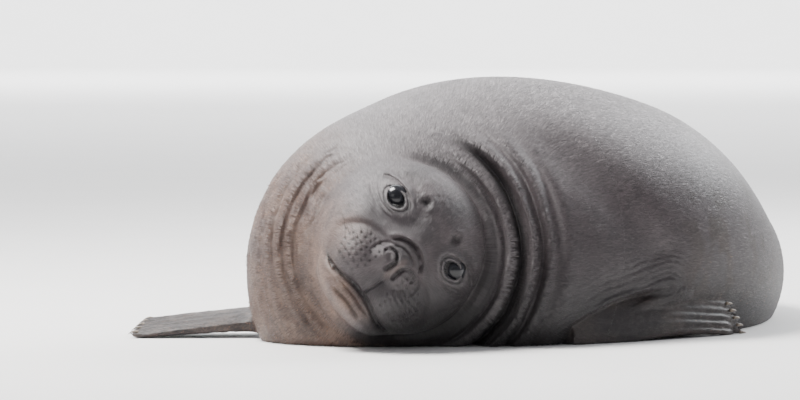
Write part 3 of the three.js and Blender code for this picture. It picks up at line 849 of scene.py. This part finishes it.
    # Painted shade on the flank just beside the near fore flipper
    flank_contact_shade = np.zeros(len(p))
    by = NEAR_FORE.near(p, 20)
    flank_contact_shade[by] = bell(NEAR_FORE.field(p[by]) - 5, 5)
    colour = blend(colour, DARK * 0.6, 0.65 * np.maximum(fold, flank_contact_shade))
    below = fall(-14, 2, z - 74 * rise(226, 350, x))
    arm = below * rise(226, 270, x) * fall(400, 450, x) * (y < 330)
    colour = blend(colour, limb, 0.92 * np.maximum(flipper, 0.85 * arm))
    colour = colour * (1 + 0.10 * small + 0.06 * noise(p, 4.0, 6))[:, None]
    # Sand on the throat, chin, far flipper and rump, and the wet places
    sand = np.clip(throat * 0.9 + 0.35 * cheek * face + 0.5 * chin * face, 0, 1)
    sand = np.maximum(sand, 0.55 * flipper * rise(-420, -240, -np.abs(x + 240)) * (x < -180))
    sand = np.maximum(sand, 0.12 * rump * fall(40, 200, z))
    wet = lipline * face
    for side in (-1, 1):
        wet = np.maximum(wet, bell(nostril(m, u, side), 6) * rise(88, 100, f))
        wet = np.maximum(wet, fall(1.02, 1.18, eye_rho(l, u, side)[0]))
    return np.clip(colour, 0.002, 1), sand, wet, face, flipper


def wrinkles(p):
    """Fine folds, as a height over the skin in millimetres."""
    x, y, z = p.T
    r, angle = round_head(p)
    turned = np.where(angle < -90, angle + 360, angle)
    face, flipper = regions(p)
    collar = fall(235, 262, r) * fall(90, 160, y) * (1 - face) * (1 - flipper)
    left = rise(110, 140, turned) * fall(235, 262, turned)
    phase = r + 9 * noise(p, 38.0, 12) + 3 * noise(p, 13.0, 13)
    ripple = np.sin(2 * np.pi * phase / 11.0)
    broken = rise(-0.5, 0.5, noise(p, 24.0, 14))
    above = rise(40, 62, turned) * fall(110, 140, turned)
    ends = mix(fall(180, 198, r), 1.0, left)
    h = collar * ends * (0.45 + 0.85 * left - 0.32 * above) * ripple * broken
    h += collar * left * 0.8 * noise(p * np.array([1, 0.5, 0.35]), 7.0, 15)
    distance, along = arc_distance(x, z, ARMPIT)
    pit = (x > 180) & (x < 440) & (y < 300) & (z < 190)
    pit = pit * fall(40, 66, distance) * (1 - flipper)
    h += pit * 0.45 * np.sin(2 * np.pi * (distance + 4 * noise(p, 30.0, 16)) / 8.5)
    h += flipper * 0.5 * noise(p, 9.0, 17)
    return h


points = read_vectors(skin_mesh.vertices, "co")
normals = read_vectors(skin_mesh.vertex_normals, "vector")
points = points + normals * wrinkles(points)[:, None]
points[:, 2] = np.maximum(points[:, 2], REST_GAP)
skin_mesh.vertices.foreach_set("co", to_frame(points).ravel())
skin_mesh.update()
normals = read_vectors(skin_mesh.vertex_normals, "vector")
colour, sand, wet, face, flipper = markings(points, normals)
along, turn, forward = on_spine(points)


def lie_coordinates(p, face_weight, spine_along, spine_turn):
    """Across and along the lie of the coat, in millimetres, for the streaks of the fur."""
    l, u, f = head_axes(p)
    r = round_head(p)[0]
    angle = np.arctan2(p[:, 2] - HEAD_CENTRE[2], p[:, 0])
    body = np.stack([spine_turn * 190, spine_along, np.zeros(len(p))], 1)
    head = [np.arctan2(u, l) * 95, np.arctan2(np.hypot(l, u), f + 30) * 150, np.full(len(p), 900.0)]
    ring = np.stack([angle * 210, r, np.full(len(p), 450.0)], 1)
    body = np.where(((r < 330) & (p[:, 1] < 260))[:, None], ring, body)
    return np.where(face_weight[:, None] > 0.5, np.stack(head, 1), body)


def add_attribute(mesh, name, kind, data):
    key = {"FLOAT_COLOR": "color", "FLOAT_VECTOR": "vector", "FLOAT": "value"}[kind]
    if kind == "FLOAT_COLOR":
        data = np.concatenate([data, np.ones((len(data), 1))], 1)
    values = mesh.attributes.new(name, kind, "POINT").data
    values.foreach_set(key, data.astype(np.float32).ravel())


add_attribute(skin_mesh, "tint", "FLOAT_COLOR", colour)
add_attribute(skin_mesh, "sand", "FLOAT", sand)
add_attribute(skin_mesh, "wet", "FLOAT", wet)
add_attribute(skin_mesh, "lie", "FLOAT_VECTOR", lie_coordinates(points, face, along, turn))
skin_mesh.polygons.foreach_set("use_smooth", np.ones(len(skin_mesh.polygons), bool))


# Materials


def plug(tree, socket, value):
    """Link a node's output to a socket, or set the socket to a plain value."""
    if isinstance(value, bpy.types.NodeSocket):
        tree.links.new(value, socket)
    else:
        socket.default_value = value


def feed(tree, target, **inputs):
    """Link or set a node's inputs by their names, with _ for each blank."""
    for name, value in inputs.items():
        plug(tree, target.inputs[name.replace("_", " ")], value)


def new_material(name):
    material = bpy.data.materials.new(name)
    material.use_nodes = True
    return material, material.node_tree, material.node_tree.nodes["Principled BSDF"]


def object_place(tree):
    return tree.nodes.new("ShaderNodeTexCoord").outputs["Object"]


def attribute(tree, name, output="Fac"):
    n = tree.nodes.new("ShaderNodeAttribute")
    n.attribute_name = name
    return n.outputs[output]


def maths(tree, operation, a, b, clamp=False):
    n = tree.nodes.new("ShaderNodeMath")
    n.operation = operation
    n.use_clamp = clamp
    plug(tree, n.inputs[0], a)
    plug(tree, n.inputs[1], b)
    return n.outputs[0]


def times(tree, a, b):
    return maths(tree, "MULTIPLY", a, b)


def noise_node(tree, vector, scale, detail=3.0, roughness=0.55):
    n = tree.nodes.new("ShaderNodeTexNoise")
    feed(tree, n, Vector=vector, Scale=scale, Detail=detail, Roughness=roughness)
    return n.outputs[0]


def scaled(tree, vector, scale):
    n = tree.nodes.new("ShaderNodeMapping")
    feed(tree, n, Vector=vector, Scale=scale)
    return n.outputs[0]


def mixed(tree, factor, a, b, kind="MIX"):
    n = tree.nodes.new("ShaderNodeMix")
    n.data_type = "RGBA"
    n.blend_type = kind
    for i, value in ((0, factor), (6, a), (7, b)):
        plug(tree, n.inputs[i], value)
    return n.outputs[2]


def toned(tree, colour, factor, low, high):
    """The colour multiplied by a tone between two others."""
    return mixed(tree, 1.0, colour, mixed(tree, factor, low, high), "MULTIPLY")


def ramp(tree, value, *limits):
    """The value carried from one range to another, 0 to 1 where none is given."""
    n = tree.nodes.new("ShaderNodeMapRange")
    plug(tree, n.inputs[0], value)
    for i, limit in enumerate(limits, 1):
        n.inputs[i].default_value = limit
    return n.outputs[0]


def bumped(tree, shader, height, strength, distance):
    n = tree.nodes.new("ShaderNodeBump")
    feed(tree, n, Strength=strength, Distance=distance, Height=height)
    feed(tree, shader, Normal=n.outputs[0])


def fur_material():
    material, tree, shader = new_material("seal_fur")
    tint, shade = attribute(tree, "tint", "Color"), attribute(tree, "shade")
    shown = toned(tree, tint, shade, (0.58, 0.57, 0.57, 1), (1.55, 1.53, 1.51, 1))
    feed(tree, shader, Base_Color=shown, Roughness=0.55, Sheen_Weight=0.05)
    return material


def hide_material():
    material, tree, shader = new_material("seal_skin")
    shown = attribute(tree, "tint", "Color")
    lie = attribute(tree, "lie", "Vector")
    sand_share, wet_share = attribute(tree, "sand"), attribute(tree, "wet")
    place = object_place(tree)
    streak = noise_node(tree, scaled(tree, lie, (0.55, 0.085, 0.2)), 1.0, 4.0, 0.6)
    fine = noise_node(tree, scaled(tree, lie, (1.3, 0.2, 0.4)), 1.0, 3.0, 0.6)
    pores = noise_node(tree, place, 420.0, 2.0, 0.6)
    blotch = noise_node(tree, place, 26.0, 5.0, 0.65)
    share = ramp(tree, streak, 0.32, 0.68)
    shown = toned(tree, shown, share, (0.62, 0.61, 0.61, 1), (1.4, 1.38, 1.36, 1))
    share = ramp(tree, blotch, 0.3, 0.7)
    shown = toned(tree, shown, share, (0.84, 0.83, 0.83, 1), (1.13, 1.11, 1.1, 1))
    # Grains of sand in patches, and dust
    grains = tree.nodes.new("ShaderNodeTexVoronoi")
    feed(tree, grains, Vector=place, Scale=260.0)
    dot = ramp(tree, grains.outputs["Distance"], 0.20, 0.34, 1.0, 0.0)
    chance = ramp(tree, grains.outputs["Color"], 0.35, 0.62)
    patch = ramp(tree, noise_node(tree, place, 34.0, 3.0), 0.42, 0.6)
    dots = times(tree, times(tree, dot, chance), times(tree, patch, sand_share))
    shown = mixed(tree, times(tree, dots, 0.85), shown, (0.24, 0.10, 0.05, 1))
    dust = times(tree, ramp(tree, blotch, 0.45, 0.7), times(tree, sand_share, 0.45))
    shown = mixed(tree, dust, shown, (0.26, 0.18, 0.135, 1))
    rough = ramp(tree, streak, 0.3, 0.7, 0.62, 0.44)
    rough = maths(tree, "SUBTRACT", rough, times(tree, wet_share, 0.24), True)
    feed(tree, shader, Base_Color=shown, Roughness=rough, Sheen_Weight=0.06, Sheen_Roughness=0.5)
    height = maths(tree, "ADD", times(tree, streak, 0.9), times(tree, fine, 0.5))
    height = maths(tree, "ADD", height, times(tree, pores, 0.3))
    height = maths(tree, "ADD", height, times(tree, dots, 0.8))
    bumped(tree, shader, height, 0.75, 0.0016)
    return material


def add_object(name, data):
    item = bpy.data.objects.new(name, data)
    bpy.context.scene.collection.objects.link(item)
    return item


def add_piece(name, mesh, material):
    mesh.materials.append(material)
    piece = add_object(name, mesh)
    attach(piece, "root")
    return piece


skin = add_piece("skin", skin_mesh, hide_material())
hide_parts(*FLESH)


# Coat: thin tapered tufts along the lie
COAT_PIECES = 4
TUFT_LENGTH = 9.5
TUFT_WIDTH = 0.5
TUFT_POINTS = 5
TUFT_SPOT = 0.003
SAND_COLOUR = np.array([0.17, 0.092, 0.058])


def unwrap(p, face_weight, flipper_weight, spine_along, spine_turn):
    """The root's place on a flat map of the skin: trunk, head and each flipper apart."""
    turned = 0.02 + 0.62 * (spine_turn / (2 * np.pi) + 0.5)
    uv = np.stack([turned, 0.02 + 0.96 * np.clip(spine_along + 60, 0, 1400) / 1400], 1)
    l, u, f = head_axes(p)
    polar = np.arctan2(np.hypot(l, u), f + 20)
    spin = np.arctan2(u, l)
    reach = 0.15 * np.clip(polar / 1.9, 0, 1)
    head = np.stack([0.82 + reach * np.cos(spin), 0.82 + reach * np.sin(spin)], 1)
    uv = np.where(face_weight[:, None] > 0.5, head, uv)
    for i, (limb, _) in enumerate(FLIPPERS):
        a, b, c = limb.local(p)
        on = (flipper_weight > 0.5) & limb.near(p, FLIPPER_MARGIN)
        row = 0.02 + 0.075 * (2 * i + (c > limb.curve(a)).astype(float))
        across_blade = 0.06 * np.clip(b / (2 * limb.half(1)) + 0.5, 0, 1)
        along_blade = 0.68 + 0.3 * np.clip(a / (limb.length * 1.1), 0, 1)
        uv = np.where(on[:, None], np.stack([along_blade, row + across_blade], 1), uv)
    return uv


rng = np.random.default_rng(SEED)
skin_mesh.calc_loop_triangles()
triangles = np.empty(len(skin_mesh.loop_triangles) * 3, np.int32)
skin_mesh.loop_triangles.foreach_get("vertices", triangles)
triangles = triangles.reshape(-1, 3)
corner = points[triangles]
area = np.linalg.norm(np.cross(corner[:, 1] - corner[:, 0], corner[:, 2] - corner[:, 0]), axis=1) / 2
centre = corner.mean(1)
tri_face, tri_flipper = face[triangles].mean(1), flipper[triangles].mean(1)
weight = area * mix(1.0, 2.6, tri_face) * mix(1.0, 1.4, tri_flipper) * (centre[:, 2] > 4)
l, u, f = head_axes(centre)
weight = weight * ~((f > 40) & (nearest_rho(l, u) < 1.5))
weight = weight * (wet[triangles].max(1) < 0.35)
pick = rng.choice(len(triangles), TUFTS, p=weight / weight.sum())
bary = rng.dirichlet((1, 1, 1), TUFTS)


def at_roots(values):
    """Values of the skin's points, carried over to the roots of the tufts."""
    share = bary if values.ndim == 1 else bary[:, :, None]
    return (values[triangles[pick]] * share).sum(1)


def unit(rows, least=0.0):
    return rows / (np.linalg.norm(rows, axis=1, keepdims=True) + least)


root = at_roots(points)
normal = unit(at_roots(normals))
tuft_colour = at_roots(colour)
sandy = rng.random(TUFTS) < 0.22 * at_roots(sand) * rise(-0.5, 0.5, noise(root, 20.0, 31))
tuft_colour[sandy] = SAND_COLOUR * rng.uniform(0.6, 1.4, (int(sandy.sum()), 1))
tuft_face, tuft_flipper = at_roots(face), at_roots(flipper)
tuft_along, tuft_turn, tuft_forward = on_spine(root)

# The lie: along the spine, away from the nose, outwards in the collar, along each flipper
lie = blend(tuft_forward, unit(root - head_to_model(6, -18, 120)), tuft_face)
ring_r = round_head(root)[0]
radial = np.stack([root[:, 0] / ring_r, np.full(len(root), 0.35), (root[:, 2] - HEAD_CENTRE[2]) / ring_r], 1)
lie = blend(lie, radial, fall(190, 320, ring_r) * fall(60, 200, root[:, 1]) * (1 - tuft_face))
for limb, _ in FLIPPERS:
    lie[(tuft_flipper > 0.4) & limb.near(root, FLIPPER_MARGIN)] = limb.along
lie += 0.22 * rng.normal(size=lie.shape)
lie -= normal * (lie * normal).sum(1, keepdims=True)
lie = unit(lie, 1e-9)
across = np.cross(lie, normal)

# Sizes: small on the face and flippers, long at the rim of the collar, short where sandy
size = mix(1.0, 0.34, tuft_face) * mix(1.0, 0.6, tuft_flipper) * rng.uniform(0.65, 1.35, TUFTS)
rim_share = bell(ring_r - 160, 9) * (root[:, 1] < 100) * (1 - tuft_face)
size *= np.where(sandy, 0.32, 1 + 0.2 * rim_share)
length = TUFT_LENGTH * size
width = TUFT_WIDTH * mix(1.0, 0.62, tuft_face) * rng.uniform(0.7, 1.3, TUFTS)
lift = (0.25 + 0.75 * rng.random(TUFTS) ** 2) * mix(0.9, 0.3, tuft_face) * (1 + 0.2 * rim_share)
shade = np.clip(0.5 + 0.24 * rng.normal(size=TUFTS) + 0.08 * rim_share, 0, 1)
uv_root = unwrap(root, tuft_face, tuft_flipper, tuft_along, tuft_turn)


def coat_piece(name, s, material):
    """The tufts of the rows s: two points at the root, two halfway and one at the tip."""
    n = len(root[s])
    w = across[s] * width[s][:, None]
    base = root[s] - normal[s] * 0.25
    middle = root[s] + lie[s] * (length[s] * 0.5)[:, None] + normal[s] * (lift[s] * 0.7)[:, None]
    tip = root[s] + lie[s] * length[s][:, None] + normal[s] * (lift[s] * 0.8)[:, None]
    co = np.stack([base - w, base + w, middle - 0.8 * w, middle + 0.8 * w, tip], 1)
    co[:, :, 2] = np.maximum(co[:, :, 2], REST_GAP)
    start = np.arange(n)[:, None] * TUFT_POINTS
    faces = (start + np.array([0, 1, 3, 0, 3, 2, 2, 3, 4])).reshape(-1)
    mesh = bpy.data.meshes.new(name)
    mesh.vertices.add(n * TUFT_POINTS)
    mesh.vertices.foreach_set("co", to_frame(co.reshape(-1, 3)).ravel())
    mesh.loops.add(n * 9)
    mesh.loops.foreach_set("vertex_index", faces.astype(np.int32))
    mesh.polygons.add(n * 3)
    mesh.polygons.foreach_set("loop_start", (np.arange(n * 3) * 3).astype(np.int32))
    mesh.update(calc_edges=True)
    add_attribute(mesh, "tint", "FLOAT_COLOR", np.repeat(tuft_colour[s], TUFT_POINTS, 0))
    add_attribute(mesh, "shade", "FLOAT", np.repeat(shade[s], TUFT_POINTS))
    layer = mesh.uv_layers.new(name="OFBake")
    spot = np.array([(-0.5, -0.5), (0.5, -0.5), (-0.5, 0.1), (0.5, 0.1), (0, 0.5)]) * TUFT_SPOT
    uv = (uv_root[s][:, None, :] + spot[None]).reshape(-1, 2)
    layer.data.foreach_set("uv", uv[faces].astype(np.float32).ravel())
    mesh.polygons.foreach_set("use_smooth", np.ones(n * 3, bool))
    mesh.normals_split_custom_set_from_vertices(np.repeat(normal[s], TUFT_POINTS, 0).tolist())
    add_piece(name, mesh, material)


fur = fur_material()
order = np.argsort(uv_root[:, 1], kind="stable")
for i in range(COAT_PIECES):
    part = order[i * TUFTS // COAT_PIECES : (i + 1) * TUFTS // COAT_PIECES]
    coat_piece(f"coat_{i + 1}", part, fur)


# Eyes


def smooth_mesh(name, bm):
    mesh = bpy.data.meshes.new(name)
    bm.to_mesh(mesh)
    bm.free()
    for polygon in mesh.polygons:
        polygon.use_smooth = True
    return mesh


def eye_material():
    material, tree, shader = new_material("seal_eye")
    rings = noise_node(tree, object_place(tree), 900.0, 3.0)
    iris = mixed(tree, ramp(tree, rings, 0.3, 0.7), (0.009, 0.009, 0.011, 1), (0.022, 0.022, 0.027, 1))
    edge = ramp(tree, attribute(tree, "gaze"), 0.34, 0.42)
    shown = mixed(tree, edge, (0.006, 0.006, 0.008, 1), iris)
    rough = ramp(tree, rings, 0.3, 0.7, 0.16, 0.24)
    feed(tree, shader, Base_Color=shown, Roughness=rough, Specular_IOR_Level=0.3)
    feed(tree, shader, Coat_Weight=0.25, Coat_Roughness=0.06)
    return material


CORNEA = 0.025
eye_finish = eye_material()
for side, name in ((-1, "eye_right"), (1, "eye_left")):
    bm = bmesh.new()
    bmesh.ops.create_icosphere(bm, subdivisions=5, radius=1.0)
    co = np.array([v.co for v in bm.verts])
    gaze = LEFT * (0.30 * side) + CROWN * 0.12 + NOSE * 0.95
    gaze /= np.linalg.norm(gaze)
    off_axis = np.arccos(np.clip(co @ gaze, -1, 1))
    swell = 1 + CORNEA * bell(off_axis, 0.5)
    placed = to_frame(eye_centre(side) + co * (EYE_RADIUS - 0.25) * swell[:, None] / (1 + CORNEA))
    for v, c in zip(bm.verts, placed):
        v.co = c
    eye = add_piece(f"{name}_ball", smooth_mesh(f"{name}_ball", bm), eye_finish)
    add_attribute(eye.data, "gaze", "FLOAT", off_axis)
    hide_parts(name)


# Claws
CLAW_LENGTH, CLAW_RADIUS = 17.0, 2.5
CLAW_STEPS, CLAW_SIDES = 10, 14
CLAW_SEAT = 0.97


def claw_material():
    material, tree, shader = new_material("seal_claw")
    grain = noise_node(tree, scaled(tree, object_place(tree), (1, 1, 3)), 300.0, 4.0)
    share = ramp(tree, grain, 0.3, 0.7)
    shown = mixed(tree, share, (0.09, 0.07, 0.055, 1), (0.30, 0.25, 0.20, 1))
    feed(tree, shader, Base_Color=shown, Roughness=ramp(tree, grain, 0.3, 0.7, 0.32, 0.5))
    bumped(tree, shader, grain, 0.4, 0.0004)
    return material


def close_tube(bm, rows):
    """Faces between the rings of a tube, and over its two ends."""
    sides = len(rows[0])
    for ring, following in zip(rows, rows[1:]):
        for j in range(sides):
            k = (j + 1) % sides
            bm.faces.new((ring[j], ring[k], following[k], following[j]))
    bm.faces.new(rows[0][::-1])
    bm.faces.new(rows[-1])


claw_finish = claw_material()
for limb, side_name in ((NEAR_FORE, "left"), (FAR_FORE, "right")):
    for i, spread in enumerate(DIGITS):
        s = CLAW_SEAT
        at = s * mix(limb.length * 0.9, limb.reach(spread), rise(0.35, 1, s))
        top = limb.thick(np.array([s]), np.array([spread]))[0] + limb.curve(at)
        seat = limb.place(at, limb.half(s) * spread, top)
        bm = bmesh.new()
        rows = []
        for k in range(CLAW_STEPS + 1):
            t = k / CLAW_STEPS
            middle = seat + limb.along * CLAW_LENGTH * (t - 0.4) + limb.out * (12 * t * (1 - t) - 3 * t + 0.4)
            radius = CLAW_RADIUS * (1 - 0.8 * t**1.3) * math.sqrt(max(1 - t**6, 0.02))
            row = []
            for j in range(CLAW_SIDES):
                q = 2 * math.pi * j / CLAW_SIDES
                v = middle + limb.across * radius * math.cos(q) + limb.out * radius * 0.85 * math.sin(q)
                v[2] = max(v[2], 0.8)
                row.append(bm.verts.new(to_frame(v)))
            rows.append(row)
        close_tube(bm, rows)
        name = f"nail_{side_name}_{i + 1}"
        claw = add_piece(name, smooth_mesh(name, bm), claw_finish)
        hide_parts(f"claw_{side_name}_{i + 1}")


# Whiskers
HAIR_STEPS = 6
HAIR_RADIUS = 0.34
HAIR_SINK = 0.8


def whisker_material():
    material, tree, shader = new_material("seal_whisker")
    grain = noise_node(tree, object_place(tree), 60.0, 2.0)
    shown = mixed(tree, grain, (0.006, 0.005, 0.005, 1), (0.035, 0.028, 0.024, 1))
    feed(tree, shader, Base_Color=shown, Roughness=ramp(tree, grain, 0.3, 0.7, 0.3, 0.42))
    return material


def onto_skin(l, u, start=175.0):
    """The point of the head's skin in front of (l, u)."""
    f = np.arange(40.0, start, 0.5)[::-1]
    p = HEAD_CENTRE + LEFT * l + CROWN * u + NOSE * f[:, None]
    return p[np.argmax(field(p) < 0)]


def add_hair(bm, base, direction, droop, reach):
    """A tapered four-sided hair that bends by its droop."""
    direction = direction / np.linalg.norm(direction)
    side = np.cross(direction, np.array([0.3, 0.2, 1.0]))
    side /= np.linalg.norm(side)
    up = np.cross(side, direction)
    rows = []
    for k in range(HAIR_STEPS + 1):
        t = k / HAIR_STEPS
        c = base + direction * reach * t + droop * reach * t * t
        r = HAIR_RADIUS * (1 - 0.85 * t)
        ring = [c + side * r * math.cos(q) + up * r * math.sin(q) for q in (0, 1.571, 3.142, 4.712)]
        rows.append([bm.verts.new(to_frame(v)) for v in ring])
    close_tube(bm, rows)


bm = bmesh.new()
for pl, pu, side in PITS:
    off = abs(pl - MUZZLE_SHIFT)
    if off < 30 or rng.random() < (0.12 if side < 0 else 0.6):
        continue
    base = onto_skin(pl, pu) - NOSE * HAIR_SINK
    way = LEFT * side * (0.75 + 0.4 * rng.random())
    way = way + CROWN * (0.30 + 0.008 * (pu + 70))
    way = way + NOSE * (0.55 + 0.25 * rng.random())
    way = way + 0.12 * rng.normal(size=3)
    droop = np.array([0, 0.1, -0.12]) + LEFT * side * 0.12
    add_hair(bm, base, way, droop, (8 + 0.42 * (off - 24)) * rng.uniform(0.8, 1.3))
for bl, bu in BROWS:
    for i in range(6):
        q = 2 * math.pi * i / 6 + 0.4
        base = onto_skin(bl + 3.4 * math.cos(q), bu + 3.4 * math.sin(q)) - NOSE * HAIR_SINK
        way = NOSE * 0.8 + CROWN * (0.35 + 0.2 * math.sin(q))
        way = way + LEFT * (0.3 * np.sign(bl) + 0.3 * math.cos(q))
        add_hair(bm, base, way, np.array([0, 0, -0.08]), 8 * rng.uniform(0.7, 1.3))
add_piece("whiskers", smooth_mesh("whiskers", bm), whisker_material())


# Floor, light and camera
FLOOR_FRONT, FLOOR_BACK = -32, 27
FLOOR_HALF = 45
BACKDROP_CURVE = 3
BACKDROP_TOP = 18


def floor_material():
    material, tree, shader = new_material("studio_floor")
    grain = noise_node(tree, object_place(tree), 3.0, 3.0)
    shown = mixed(tree, grain, (0.80, 0.79, 0.78, 1), (0.84, 0.83, 0.82, 1))
    feed(tree, shader, Base_Color=shown, Roughness=0.8)
    return material


profile = [(FLOOR_FRONT, 0), (FLOOR_BACK, 0)]
for q in np.linspace(0.1, math.pi / 2, 14):
    profile.append((FLOOR_BACK + BACKDROP_CURVE * math.sin(q), BACKDROP_CURVE - BACKDROP_CURVE * math.cos(q)))
profile.append((FLOOR_BACK + BACKDROP_CURVE, BACKDROP_TOP))
bm = bmesh.new()
rows = [[bm.verts.new((x, y, z)) for x in (-FLOOR_HALF, FLOOR_HALF)] for y, z in profile]
for a, b in zip(rows, rows[1:]):
    bm.faces.new((a[0], a[1], b[1], b[0]))
floor_mesh = smooth_mesh("studio_floor", bm)
floor_mesh.materials.append(floor_material())
add_object("studio_floor", floor_mesh)

world = bpy.data.worlds.new("studio")
world.use_nodes = True
background = world.node_tree.nodes["Background"]
background.inputs[0].default_value = (0.93, 0.95, 1.0, 1)
background.inputs[1].default_value = 0.45
bpy.context.scene.world = world


def area_light(name, at, look, extent, power, tint):
    light = bpy.data.lights.new(name, "AREA")
    light.shape = "RECTANGLE"
    light.size, light.size_y = extent
    light.energy = power
    light.color = tint
    lamp = add_object(name, light)
    lamp.location = at
    lamp.rotation_euler = (Vector(at) - Vector(look)).to_track_quat("Z", "Y").to_euler()


head_at = tuple(to_frame(HEAD_CENTRE))
area_light("overhead", (-1.5, -0.3, 3.3), (0.1, -0.2, 0.1), (1.5, 1.5), 390, (1.0, 0.985, 0.965))
area_light("front_fill", (-2.6, -4.2, 2.2), head_at, (2.2, 1.6), 20, (1.0, 0.99, 0.98))
area_light("rim", (2.6, 2.2, 2.2), (0.2, 0.2, 0.2), (2.0, 1.4), 170, (0.96, 0.98, 1.0))
area_light("backdrop_wash", (0, 20.0, 8.0), (0, 29, 1.5), (24.0, 2.0), 4500, (0.97, 0.985, 1.0))
area_light("floor_wash", (0, 15.5, 10.0), (0, 15.6, 0), (40.0, 15.0), 7500, (0.97, 0.985, 1.0))

CAMERA_AT = (0.0, -6500.0, 500.0)
CAMERA_TILT = 2.53
camera_data = bpy.data.cameras.new("camera")
camera_data.lens = 201.6
camera_data.sensor_width = 36.0
camera_data.clip_end = 100.0
camera = add_object("camera", camera_data)
camera.location = to_frame(CAMERA_AT)
camera.rotation_euler = (math.radians(90 - CAMERA_TILT), 0, 0)
bpy.context.scene.camera = camera

bpy.context.view_layer.update()
